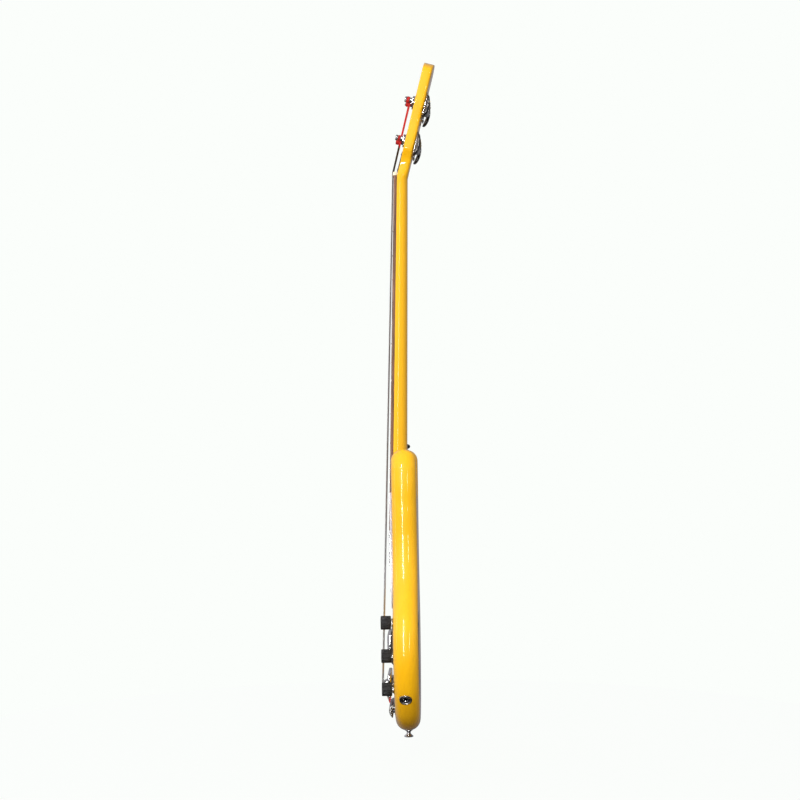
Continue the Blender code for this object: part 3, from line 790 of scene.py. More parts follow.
def screw_set(name, radius, height, places, cross=True):
    """One head, copied to each place and joined to a single piece."""
    first = screw_head(name + "_first", radius, height, Matrix(), cross)
    heads = [copy_of(first, f"{name}_{number}", place) for number, place in enumerate(places)]
    bpy.data.objects.remove(first, do_unlink=True)
    return join(name, heads)


def eased(stations, step):
    """Stations of (place, value, value) with smooth ones put between them, which never overshoot."""
    def slopes(column):
        runs = [(b[column] - a[column]) / (b[0] - a[0]) for a, b in zip(stations, stations[1:])]
        inner = [2 * s * t / (s + t) if s * t > 0 else 0.0 for s, t in zip(runs, runs[1:])]
        return [runs[0]] + inner + [runs[-1]]

    columns = [slopes(column) for column in range(1, len(stations[0]))]
    rows = [stations[0]]
    for number, (first, last) in enumerate(zip(stations, stations[1:])):
        span = last[0] - first[0]
        count = max(1, math.ceil(abs(span) / step))
        for part in range(1, count + 1):
            t = part / count
            row = [first[0] + span * t]
            for column, slope in enumerate(columns, 1):
                row.append((2 * t ** 3 - 3 * t ** 2 + 1) * first[column]
                + (t ** 3 - 2 * t ** 2 + t) * span * slope[number]
                           + (3 * t ** 2 - 2 * t ** 3) * last[column]
                           + (t ** 3 - t ** 2) * span * slope[number + 1])
            rows.append(tuple(row))
    return rows


def threaded(name, radius, depth, pitch, low, high, place, sides=16):
    """A rod from low to high whose skin rises and falls along a helix."""
    rings = []
    count = max(2, round((high - low) / pitch * 8))
    for number in range(count + 1):
        out = low + (high - low) * number / count
        ring = []
        for side in range(sides):
            turn = 2 * math.pi * side / sides
            size = radius - depth * (0.5 + 0.5 * math.cos(2 * math.pi * out / pitch - turn))
            ring.append((size * math.cos(turn), size * math.sin(turn), out))
        rings.append(ring)
    return settle(lofted(name, rings), place)


def turns_along(item, path, per_turn):
    """Writes how many turns of thread lie before each point of a tube, for its material."""
    lengths = [0.0]
    for start, end in zip(path, path[1:]):
        lengths.append(lengths[-1] + (end - start).length)
    spot = item.data.attributes.new("turns", "FLOAT", "POINT")
    for vertex, value in zip(item.data.vertices, spot.data):
        best = None
        for number, (start, end) in enumerate(zip(path, path[1:])):
            run = end - start
            t = min(1.0, max(0.0, (vertex.co - start).dot(run) / run.length_squared))
            gap = (start + run * t - vertex.co).length
            if best is None or gap < best[0]:
                best = (gap, lengths[number] + run.length * t)
        value.value = best[1] / (per_turn * MM)
    return item


# ---------------------------------------------------------------- body and neck

BODY_OUTLINE = (
    [(36, -538), (57, -530), (71, -508), (75, -484), (98, -465), (121, -484), (125, -509),
     (119, -565), (112, -629), (119, -668), (140, -710), (161, -744)]
    + arc((0, -BOUT_CENTRE), BOUT_RADIUS, 0, 180, 9)
    + [(-161, -742), (-142, -708), (-124, -668), (-117, -634), (-124, -568), (-131, -515),
       (-127, -489), (-104, -471), (-81, -490), (-77, -511), (-60, -534), (-36, -542)]
)
# Up from the nut, half width, squareness of the section, extra thickness
HEAD_SHAPE = (
    (199.0, 6.0, 9.0, 0.0), (197.6, 18.0, 9.0, 0.0), (194.5, 28.0, 9.0, 0.0), (190.5, 36.0, 9.0, 0.0),
    (184.0, 42.0, 9.0, 0.0), (158.0, 41.6, 9.0, 0.0), (123.0, 40.2, 9.0, 0.0), (80.0, 39.6, 9.0, 0.0),
    (56.0, 39.8, 9.0, 0.0), (48.0, 38.8, 9.0, 0.0), (42.0, 35.8, 9.0, 0.0), (34.0, 29.5, 9.0, 0.0),
    (24.0, 24.2, 8.0, 0.1), (12.0, 21.4, 5.0, 0.3), (0.3, 20.6, 2.8, 0.7),
)
NECK_SEAT = -BOARD_THICK - 0.05
TENON_START = 545.0
TENON_HALF = 25.0
# Half width, top and end down the body, height of the cover and bottom of the hole for it
NECK_PICKUP = (42.0, 608.0, 663.0, 6.7, -17.0)
BRIDGE_PICKUP = (41.0, 779.0, 823.0, 12.4, -14.0)
BRIDGE_POST = (41.5, 866.0)
TAIL_STUD = (36.0, 909.0)
JACK_PLACE = rim_place(BOUT_RADIUS * math.cos(math.radians(JACK_ANGLE)),
                       BOUT_CENTRE + BOUT_RADIUS * math.sin(math.radians(JACK_ANGLE)), 19.2, JACK_ANGLE)
END_BUTTON = rim_place(0.0, BODY_END, BODY_THICK / 2, 90.0)
HORN_BUTTON = rim_place(-118.3, 475.6, BODY_THICK / 2, -90.0 - BUTTON_LEAN)


def section(place, up, half, front, back, squareness, steps=36):
    """A ring with a flat front and a round back, from a plain C at 2 to nearly square at 9."""
    ring = []
    for number in range(steps + 1):
        turn = math.pi * number / steps
        side = math.copysign(abs(math.cos(turn)) ** (2 / squareness), math.cos(turn))
        depth = abs(math.sin(turn)) ** (2 / squareness)
        ring.append((place @ (Vector((half * side, up, front + (back - front) * depth)) * MM)) / MM)
    return ring


def neck_back(down):
    return -23.5 - 0.0112 * down


def cavity_outline(inset):
    corners = [(84 + inset, -878 + inset), (84 + inset, -736 - inset), (128, -733 - inset)]
    return corners + arc((0, -BOUT_CENTRE), BOUT_RADIUS - 20.5 - inset, -10, 42, 24)


def knob_spot(name):
    """Across and down of a control's axis on the body's face."""
    low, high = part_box(name + "_knob")
    return (low.x + high.x) / 2 / MM, -(low.z + high.z) / 2 / MM


class BASS_OT_body(bpy.types.Operator):
    """Models the rounded body with its pockets, holes and cavity"""
    bl_idname = "bass.body"
    bl_label = "Body"

    def execute(self, context):
        sizes = context.scene.bass_sizes
        body = curved(
            "bass_body", BODY_OUTLINE, -BODY_THICK, 0.0, BODY, sizes.edge_radius, sizes.outline_steps, 10
        )
        rings = [section(NECK, -down, half + 0.15, NECK_SEAT - 0.3, neck_back(down) - 0.3, square, 20)
                 for down, half, square in ((
                     500.0, neck_half(500) + 0.2, 2.3
                 ), (528.0, neck_half(528) + 0.2, 2.3),
                                            (TENON_START, TENON_HALF, 9.0), (
                                                BOARD_LENGTH + 0.5, TENON_HALF, 9.0
                                            ))]
        carve(body, lofted("neck_pocket", rings))
        carve(
            body,
            block("board_pocket", (-28.2, -BOARD_LENGTH - 0.3, -BOARD_THICK - 0.4), (28.2, -500, 20), NECK)
        )
        for half, top, end, _, floor in (NECK_PICKUP, BRIDGE_PICKUP):
            carve(
                body,
                block("pickup_hole", (-half - 0.3, -end - 0.3, floor), (half + 0.3, -top + 0.3, 5), BODY)
            )
        below = -BODY_THICK - 5
        carve(body, extruded("cover_recess", cavity_outline(-0.25), below, -BODY_THICK + 2.3, BODY))
        carve(body, extruded("control_cavity", cavity_outline(4.5), below, -6.0, BODY))
        drills = []
        for name in CONTROLS:
            across, down = knob_spot(name)
            drills.append(turned("drill", [(5.0, -12), (5.0, 5)], BODY @ at(across, -down, 0), 32))
        for (across, down), radius in ((BRIDGE_POST, 3.3), (TAIL_STUD, 4.3)):
            for side in (-1, 1):
                drills.append(turned(
                    "drill", [(radius, -16), (radius, 5)], BODY @ at(side * across, -down, 0), 32
                ))
        for place in (END_BUTTON, HORN_BUTTON):
            drills.append(turned("drill", [(2.3, -26), (2.3, 0), (7.4, 0), (7.4, 5)], place, 32))
        drills.append(turned("drill", [(6.6, -32), (6.6, -3.3), (10.8, -3.3), (10.8, 5)], JACK_PLACE, 48))
        carve(body, join("drills", drills))
        outward(body)
        finish_piece(body, look("lacquer"), stands_for=("body",), sharp=32, flat_faces=True)
        return {"FINISHED"}


def bevel_front_edges(neck):
    """Rounds the two long front edges of the headstock."""
    edit(neck)
    bpy.ops.mesh.select_mode(type="EDGE")
    bpy.ops.object.mode_set(mode="OBJECT")
    back = HEAD.inverted()
    local = [back @ vertex.co / MM for vertex in neck.data.vertices]
    for edge in neck.data.edges:
        first, last = (local[index] for index in edge.vertices)
        edge.select = (abs(first.z) < 0.02 and abs(last.z) < 0.02 and first.x * last.x > 0
                       and min(first.y, last.y) > 11 and max(first.y, last.y) < 198.5)
    bpy.ops.object.mode_set(mode="EDIT")
    bpy.ops.mesh.bevel(offset=1.6 * MM, segments=4, affect="EDGES", clamp_overlap=True)
    fresh()


class BASS_OT_neck(bpy.types.Operator):
    """Lofts the neck and the pitched headstock in one skin"""
    bl_idname = "bass.neck"
    bl_label = "Neck and headstock"

    def execute(self, context):
        rings = [
            section(HEAD, up, half, 0.0, -HEAD_THICK - heel, square) for up, half, square,
            heel in eased(HEAD_SHAPE, 4.0)
        ]
        downs = [6.0 + 12.0 * number for number in range(44)] + [528.0]
        rings += [section(NECK, -down, neck_half(down), NECK_SEAT, neck_back(down), 2.3) for down in downs]
        rings += [section(NECK, -down, TENON_HALF, NECK_SEAT, neck_back(down), 9.0)
                  for down in (TENON_START, BOARD_LENGTH + 0.3)]
        neck = lofted("bass_neck", rings)
        bevel_front_edges(neck)
        drills = [turned("drill", [(6.3, -HEAD_THICK - 2), (6.3, 2)], HEAD @ at(across, up, 0), 40)
                  for across, up in POSTS.values()]
        carve(neck, join("drills", drills))
        carve(neck, block("rod_pocket", (-4.5, -1, -12), (4.5, 26, 2), HEAD))
        carve(neck, block("rod_channel", (-3.2, -560, -16.2), (3.2, 1, -5.0), NECK))
        outward(neck)
        finish_piece(neck, look("lacquer"), stands_for=("neck",), sharp=38, flat_faces=True)
        repaint("truss_rod", look("steel"))
        repaint("truss_rod_nut", look("brass"))
        return {"FINISHED"}


def fret_down(number):
    return SCALE_LENGTH * (1 - 2 ** (-number / 12))


class BASS_OT_board(bpy.types.Operator):
    """Makes the fretboard with its frets and its inlaid dots"""
    bl_idname = "bass.board"
    bl_label = "Fretboard"

    def execute(self, context):
        sizes = context.scene.bass_sizes
        sides = [(-0.1, -BOARD_THICK), (-0.1, 0)] + [(-down, 0) for down in range(40, 604, 40)]
        sides += [(-BOARD_LENGTH, 0), (-BOARD_LENGTH, -BOARD_THICK)]
        board = run_across("fretboard_wood", sides, lambda up: neck_half(-up), NECK, rounding=0.35)
        finish_piece(board, look("rosewood"), stands_for=("fretboard",))
        self.frets(sizes)
        self.dots(sizes)
        return {"FINISHED"}

    def frets(self, sizes):
        frets = []
        for number in range(1, sizes.fret_count + 1):
            down = fret_down(number)
            crown = [(1.2 * math.cos(turn), 0.12 + (sizes.fret_height - 0.12) * math.sin(turn))
                     for turn in (math.pi * step / 8 for step in range(9))]
            outline = [(-down + along, out) for along, out in [(1.2, -0.3)] + crown + [(-1.2, -0.3)]]
            frets.append(run_across(f"fret_{number}", outline, neck_half(down) - 0.25, NECK))
        finish_piece(join("fret_wires", frets), look("nickel"), sharp=30)

    def dots(self, sizes):
        shape = [(3.2, -0.35), (3.2, 0.02), (3.0, 0.06)]
        single = [3, 5, 7, 9, 15, 17, 19]
        spots = [(0.0, number) for number in single] + [(-9.5, 12), (9.5, 12)]
        spots = [(across, number) for across, number in spots if number <= sizes.fret_count]
        middles = {number: (fret_down(number) + fret_down(number - 1)) / 2 for _, number in spots}
        faces = [
            turned("dot", shape, NECK @ at(across, -middles[number], 0), 32) for across, number in spots
        ]
        finish_piece(join("board_dots", faces), look("pearl"))
        small = [(1.1, -0.3), (1.1, 0.03), (1.0, 0.05)]
        edges = []
        for number in single + [12]:
            if number <= sizes.fret_count:
                shifts = (-3.0, 3.0) if number == 12 else (0.0,)
                for shift in shifts:
                    down = middles[number] + shift
                    side = Matrix.Rotation(math.radians(-90), 4, "Y")
                    edges.append(turned("dot", small, NECK @ at(-neck_half(down), -down, -2.6) @ side, 24))
        finish_piece(join("side_dots", edges), look("pearl"))


class BASS_OT_nut(bpy.types.Operator):
    """Makes the nut with a slot for each string"""
    bl_idname = "bass.nut"
    bl_label = "Nut"

    def execute(self, context):
        half = BOARD_HALF_AT_NUT
        outline = [(0.05, -5.3), (6.1, -5.3), (6.3, -0.3), (5.6, 1.15), (3.4, 1.75), (0.05, 1.9)]
        nut = run_across("nut_block", outline, half, NECK, rounding=0.3)
        for row in STRINGS:
            radius, across = row[1:3]
            path = [NECK @ (Vector((across, up, out)) * MM)
                    for up, out in ((-2, STRING_AT_NUT + 0.12), (1, STRING_AT_NUT),
                            (5, STRING_PAST_NUT), (9, 1.3))]
            groove = tube("groove", path, radius + 0.05)
            carve(nut, groove)
        finish_piece(nut, look("bone"), stands_for=("nut",))
        return {"FINISHED"}


# ---------------------------------------------------------------- strings

def string_route(row):
    """A string's points in metres, from the tailpiece over the saddle and the nut to its post."""
    name, radius, at_nut, at_saddle, saddle_down = row
    post_across, post_up = POSTS[name]
    inner = post_across - math.copysign(POST_NARROW + radius, post_across)
    return [
        BODY @ (Vector((at_saddle, -TAIL_SPOT[0], TAIL_SPOT[1])) * MM),
        BODY @ (Vector((at_saddle, -saddle_down - 1.5, STRING_AT_SADDLE - 0.25)) * MM),
        BODY @ (Vector((at_saddle, -saddle_down, STRING_AT_SADDLE)) * MM),
        NECK @ (Vector((at_nut, 1, STRING_AT_NUT)) * MM),
        NECK @ (Vector((at_nut, 5, STRING_PAST_NUT)) * MM),
        HEAD @ (Vector((inner, post_up, STRING_LOW_ON_POST)) * MM),
    ]


def between(start, end, share):
    return start + (end - start) * share


class BASS_OT_strings(bpy.types.Operator):
    """Runs the wound strings, with silk at both ends and the turns round the posts"""
    bl_idname = "bass.strings"
    bl_label = "Strings"

    def execute(self, context):
        turns = context.scene.bass_sizes.wrap_turns
        for row in STRINGS:
            name, radius = row[:2]
            tail, saddle, peak, nut, past_nut, post = string_route(row)
            silk_start = between(tail, saddle, SILK_TAIL_SHARE)
            length = (post - past_nut).length / MM
            silk_end = between(past_nut, post, max(0.05, 1 - (POSTS[name][1] - SILK_STARTS_UP) / length))
            bare = [silk_start, saddle, peak, nut]
            string = turns_along(tube(f"string_{name}_wound", bare, radius, 12), bare, 0.9)
            finish_piece(string, look("winding"), stands_for=("string_" + name,))
            # From the nut to the silk the string is a slightly thinner tube with the near-black winding:
            # painted shade.
            head_run = [nut, past_nut, silk_end]
            dark = turns_along(tube(f"string_{name}_shaded_run", head_run, radius * 0.96, 12), head_run, 0.9)
            finish_piece(dark, look("shaded_winding"))
            for part, path, grown in (
                ("tail_silk", [tail, silk_start], 1.05), ("head_silk", [silk_end, post], 1.08)
            ):
                sleeve = turns_along(tube(f"string_{name}_{part}", path, radius * grown, 12), path, 0.7)
                finish_piece(sleeve, look("silk"))
            self.wraps(name, radius * 0.92, turns)
        return {"FINISHED"}

    def wraps(self, name, radius, turns):
        """The turns of silk on one post, which turn with it."""
        across, up = POSTS[name]
        side = -math.copysign(1, across)
        start = 0.0 if side > 0 else math.pi
        low = STRING_LOW_ON_POST
        size = POST_COIL + radius
        path = []
        count = round(turns * 16)
        for step in range(count + 1):
            turn = start + side * 2 * math.pi * step / 16
            out = low + (radius * 2.02 * turns) * step / count
            path.append(HEAD @ (Vector((
                across + size * math.cos(turn), up + size * math.sin(turn), out
            )) * MM))
        top = low + radius * 2.02 * turns
        last = start + side * 2 * math.pi * count / 16
        for share, rise in ((0.8, 1.0), (0.45, 1.6)):
            spot = (across + size * share * math.cos(last + side * 0.5), up
                    + size * share * math.sin(last + side * 0.5),
                    min(top + rise, 15.4))
            path.append(HEAD @ (Vector(spot) * MM))
        coil = turns_along(tube(f"string_{name}_wraps", path, radius, 12), path, 0.7)
        finish_piece(coil, look("silk"), body="post_" + name)


# ---------------------------------------------------------------- tuners

def rounded_plate(name, half_across, half_up, corner, low, high, place, rounding=0.0):
    """A rectangle with round corners, given a thickness."""
    outline = []
    for turn in range(0, 360, 15):
        x = math.copysign(half_across - corner, math.cos(math.radians(turn + 7.5)))
        y = math.copysign(half_up - corner, math.sin(math.radians(turn + 7.5)))
        outline.append((
            x + corner * math.cos(math.radians(turn + 7.5)), y + corner * math.sin(math.radians(turn + 7.5))
        ))
    return extruded(name, outline, low, high, place, rounding)


def hex_nut(name, radius, low, high, bore, place):
    """A six-sided nut whose top corners are rounded off."""
    nut = turned(name, [(radius, low), (radius, high)], Matrix(), 6)
    soften(nut, 0.5, 3)
    cap = turned("nut_cap", [(radius * 1.4, low - 1), (radius * 1.4, low), (radius * 1.03, high - 0.55),
                             (radius * 0.90, high + 0.01), (radius * 0.90, high + 2)], Matrix(), 48)
    carve(nut, cap, "INTERSECT")
    carve(nut, turned("bore", [(bore, low - 2), (bore, high + 2)], Matrix(), 32))
    return settle(nut, place)


def bend_ear(ear, reach, depth):
    """Curls the two lobes of a key towards the headstock."""
    for vertex in ear.data.vertices:
        share = vertex.co.x / (reach * MM)
        vertex.co.z -= depth * MM * (share * share - EAR_LIFT)
    return ear


class BASS_OT_tuners(bpy.types.Operator):
    """Makes the four geared tuners: bushing, post, plate, worm, cog and key"""
    bl_idname = "bass.tuners"
    bl_label = "Tuners"

    def execute(self, context):
        teeth = context.scene.bass_sizes.cog_teeth
        for name, (across, up) in POSTS.items():
            side = math.copysign(1, across)
            place = HEAD @ at(across, up, 0)
            self.bushing(name, place)
            self.post(name, place)
            self.cog(name, place, teeth)
            self.plate(name, place)
            self.key(name, place, side)
        return {"FINISHED"}

    def bushing(self, name, place):
        sleeve = turned(
            "bushing", [(5.05, 4.6), (6.1, 4.6), (6.1, -8), (5.05, -8), (5.05, 4.6)], Matrix(), 40
        )
        washer = turned("washer", [
            (6.0, 0.3), (9.0, 0.3), (9.3, 0.5), (9.3, 0.9), (9.0, 1.15), (6.0, 1.25), (6.0, 0.3)
        ],
                        Matrix(), 48)
        bushing = join(
            f"tuner_{name}_bushing", [sleeve, washer, hex_nut("nut", 8.4, 1.3, 4.9, 5.9, Matrix())]
        )
        settle(bushing, place)
        finish_piece(bushing, look("chrome"), stands_for=("tuner_bushing_" + name,))

    def post(self, name, place):
        profile = [(2.4, -HEAD_THICK - 9.0), (2.4, -HEAD_THICK - 2.2), (4.75, -HEAD_THICK - 2.2),
                   (4.75, 7.4), (4.55, 8.1), (4.25, 8.9), (4.2, 11.0), (4.25, 13.2),
                   (4.55, 14.0), (4.75, 14.8), (4.75, 16.8), (4.5, 17.3), (4.1, 17.5)]
        post = turned(f"tuner_{name}_post", profile, Matrix(), 40)
        carve(post, block("slot", (-1.3, -8, 13.9), (1.3, 8, 19), Matrix()))
        carve(post, turned("hole", [(1.35, 5.0), (1.35, 19)], Matrix(), 24))
        settle(post, place @ Matrix.Rotation(math.radians(70), 4, "Z"))
        finish_piece(
            post, look("chrome"), body="post_" + name, stands_for=("tuner_post_" + name,)
        )

    def cog(self, name, place, teeth):
        outline = []
        for tooth in range(teeth):
            for share, radius in ((0.0, 5.3), (0.2, 5.35), (0.35, 6.15), (0.65, 6.15), (0.8, 5.35)):
                turn = 2 * math.pi * (tooth + share) / teeth
                outline.append((radius * math.cos(turn), radius * math.sin(turn)))
        wheel = extruded("wheel", outline, -8.2, -3.1, Matrix())
        head = turned(
            "screw", [(0.02, -9.4), (2.2, -9.4), (2.9, -9.1), (3.0, -8.6), (3.0, -8.1), (0.02, -8.1)],
            Matrix(), 32
        )
        carve(head, block("slot", (-4, -0.4, -10.2), (4, 0.4, -8.9), Matrix()))
        carve(wheel, turned("seat", [(2.7, -12), (2.7, 2)], Matrix(), 24))
        gear = join(f"tuner_{name}_cog", [wheel, head])
        settle(gear, place @ at(0, 0, -HEAD_THICK))
        finish_piece(
            gear, look("brass"), body="post_" + name, stands_for=("tuner_cog_" + name,)
        )

    def plate(self, name, place):
        middle = place @ at(0, -4.5, -HEAD_THICK)
        plate = rounded_plate("plate", 13, 22, 3.2, -1.9, -0.3, Matrix(), 0.35)
        lugs = []
        for shift in (-9.8, 9.8):
            arch = [(-5.5, -1.2), (-5.5, -5.2), (-4.6, -7.8), (-2.6, -9.4), (0.0, -9.8), (2.6, -9.4),
                    (4.6, -7.8),
                    (5.5, -5.2), (5.5, -1.2)]
            shifted = [(along - 4.5, out) for along, out in arch]
            lugs.append(run_across("lug", shifted, 0.8, Matrix(), shift, 0.25))
        spots = [at(x, y, -1.8) @ Matrix.Rotation(math.pi, 4, "X") for x in (-9.3, 9.3)
                 for y in (-18.2, 18.2)]
        screws = screw_set("plate_screws", 2.3, 1.1, spots)
        pieces = join(f"tuner_{name}_plate", [plate] + lugs + [screws])
        settle(pieces, middle)
        finish_piece(pieces, look("chrome"), stands_for=("tuner_plate_" + name,))

    def key(self, name, place, side):
        """The worm, and the key with its two curled lobes. The key's own Z points out to the side."""
        outwards = Matrix.Rotation(math.radians(90 * side), 4, "Y")
        axis = place @ at(0, -WORM_OFFSET, WORM_OUT) @ outwards
        worm = threaded("worm", 2.45, 0.6, 1.7, -7.6, 7.6, Matrix())
        shaft = turned("shaft", [(1.5, -11.6), (1.5, 8), (1.9, 8.2), (1.9, 18.0)], Matrix(), 24)
        gear = join(f"tuner_{name}_worm", [worm, shaft])
        settle(gear, axis)
        finish_piece(gear, look("steel"), body="key_" + name)
        hub = turned("hub", [
            (2.6, 16.5), (3.9, 16.6), (4.3, 17.2), (4.5, 18.6), (4.5, 22.0), (3.9, 23.4), (3.0, 24.6),
            (3.0, 26)
        ],
                     Matrix(), 40)
        lobes = [(3.2, 1), (7, 5), (15, 7), (19, 14), (17.5, 22), (10, 26.5), (0, 25)]
        outline = lobes + [(-x, y) for x, y in reversed(lobes[:-1])]
        ear = curved("ear", outline, -2.6, 2.6, Matrix(), 2.3, 12, 5)
        edit(ear, "ALL")
        bpy.ops.mesh.subdivide(number_cuts=1)
        fresh()
        outward(ear)
        bend_ear(ear, EAR_REACH, EAR_CURL)
        flat = Matrix.Rotation(math.radians(90), 4, "X")
        settle(ear, at(0, 0, KEY_HUB) @ flat)
        key = join(f"tuner_{name}_key", [hub, ear])
        turn = Matrix.Rotation(math.radians(90 * side), 4, "Z")
        settle(key, axis @ turn)
        # The keys take the chrome with painted dark reflection.
        finish_piece(
            key, look("dark_reflection_chrome"), body="key_" + name, stands_for=("tuner_key_" + name,),
            sharp=50
        )


# ---------------------------------------------------------------- plates and pickups

GUARD_OUTLINE = (
    (99, -537), (102, -570), (96, -605), (91, -632), (94, -668), (97, -702), (82, -728), (48, -730),
    (12, -712),
    (-28, -694), (-50, -678), (-53, -640), (-50, -602), (-24, -588), (10, -572), (45, -562), (78, -552),
)
GUARD_SCREWS = (
    (94, -546), (95, -592), (85, -640), (88, -700), (52, -721), (0, -700), (-45, -672), (-42, -606),
    (62, -566)
)


class BASS_OT_pickguard(bpy.types.Operator):
    """Cuts the layered pickguard round the board and the pickup, with its screws"""
    bl_idname = "bass.pickguard"
    bl_label = "Pickguard"

    def execute(self, context):
        top = 0.3 + context.scene.bass_sizes.guard_thickness
        guard = curved("pickguard_sheet", GUARD_OUTLINE, 0.0, 2.0, Matrix())
        settle(guard, at(0, 0, 0.05) @ Matrix.Scale((top - 0.05) / 2.0, 4, (0, 0, 1)))
        soften(guard, 0.9, 2, 60)
        settle(guard, BODY)
        carve(guard, block("board_gap", (-28.3, -BOARD_LENGTH - 0.3, -8), (28.3, -480, 20), NECK))
        half, start, end, *_ = NECK_PICKUP
        carve(
            guard, block("pickup_gap", (-half - 0.3, -end - 0.3, -8), (half + 0.3, -start + 0.3, 12), BODY)
        )
        outward(guard)
        finish_piece(guard, look("guard"), stands_for=("pickguard",))
        heads = screw_set(
            "pickguard_screws", 2.9, 1.0, [BODY @ at(x, y, top - 0.05) for x, y in GUARD_SCREWS]
        )
        finish_piece(heads, look("chrome"))
        return {"FINISHED"}


class BASS_OT_pickups(bpy.types.Operator):
    """Makes the two covered pickups and the ring round the bridge one"""
    bl_idname = "bass.pickups"
    bl_label = "Pickups"

    def execute(self, context):
        for name, (half, start, end, top, floor), rounding in (
            ("neck", NECK_PICKUP, 1.6), ("bridge", BRIDGE_PICKUP, 4.2)
        ):
            cover = block(
                f"{name}_pickup_shell", (-half, -end, floor + 2.0), (half, -start, top), Matrix(), rounding,
                6
            )
            settle(cover, BODY)
            finish_piece(
                cover, look("chrome"), stands_for=(name + "_pickup_cover",), sharp=40
            )
        self.ring()
        return {"FINISHED"}

    def ring(self):
        half, start, end, top = 50.0, 771.0, 831.0, 6.0
        middle = (start + end) / 2
        place = BODY @ at(0, -middle, 0)
        ring = rounded_plate("bridge_pickup_surround", half, (end - start) / 2, 2.5, 0.05, 2.0, Matrix())
        edit(ring)
        choose_faces(ring, lambda centre, normal: normal.z > 0.9)
        bpy.ops.mesh.extrude_region_move(TRANSFORM_OT_translate={"value": (0, 0, (top - 2.0) * MM)})
        reach = (end - start) / 2
        bpy.ops.transform.resize(
            value=((half - 4.5) / half, (reach - 4.0) / reach, 1), center_override=(0, 0, 0)
        )
        outward(ring)
        soften(ring, 0.6, 3, 20)
        inner_half, inner_start, inner_end, *_ = BRIDGE_PICKUP
        carve(ring, block("cover_gap", (-inner_half - 0.3, -(inner_end - inner_start) / 2 - 0.3, -2),
                          (inner_half + 0.3, (inner_end - inner_start) / 2 + 0.3, 12), Matrix()))
        settle(ring, place)
        finish_piece(ring, look("ring"), stands_for=("bridge_pickup_ring",))
        spots = [place @ at(x, y, 3.4) for x in (-45.2, 45.2) for y in (-22, 22)]
        finish_piece(screw_set("pickup_ring_screws", 2.2, 1.8, spots), look("chrome"))


class BASS_OT_covers(bpy.types.Operator):
    """Makes the plates over the control cavity and over the truss rod"""
    bl_idname = "bass.covers"
    bl_label = "Cover plates"

    def execute(self, context):
        low = -BODY_THICK
        lid = extruded("control_cavity_lid", cavity_outline(0.1), low, low + 2.0, Matrix())
        soften(lid, 0.3, 2, 50)
        settle(lid, BODY)
        finish_piece(lid, look("black"), stands_for=("control_cover",))
        spots = [(88.5, -742.5), (88.5, -873), (126.5, -738.5), (146, -790), (121, -857)]
        down = Matrix.Rotation(math.pi, 4, "X")
        heads = screw_set(
            "control_lid_screws", 2.6, 0.9, [BODY @ at(x, y, low + 0.7) @ down for x, y in spots]
        )
        finish_piece(heads, look("chrome"))
        bell = [(12, 7.2), (11.6, 12), (10.4, 18), (8, 24), (6.4, 30), (5.4, 37), (3.4, 42), (0, 44)]
        outline = bell + [(-x, y) for x, y in reversed(bell[:-1])]
        cover = extruded("truss_rod_plate", outline, 0.05, 2.1, Matrix(), 0.5, 2)
        settle(cover, HEAD)
        finish_piece(cover, look("black"), stands_for=("truss_rod_cover",))
        spots = [HEAD @ at(x, y, 2.0) for x, y in ((-8.2, 11), (8.2, 11), (0, 38.5))]
        finish_piece(screw_set("truss_plate_screws", 2.0, 0.9, spots), look("chrome"))
        return {"FINISHED"}


# ---------------------------------------------------------------- bridge and tailpiece

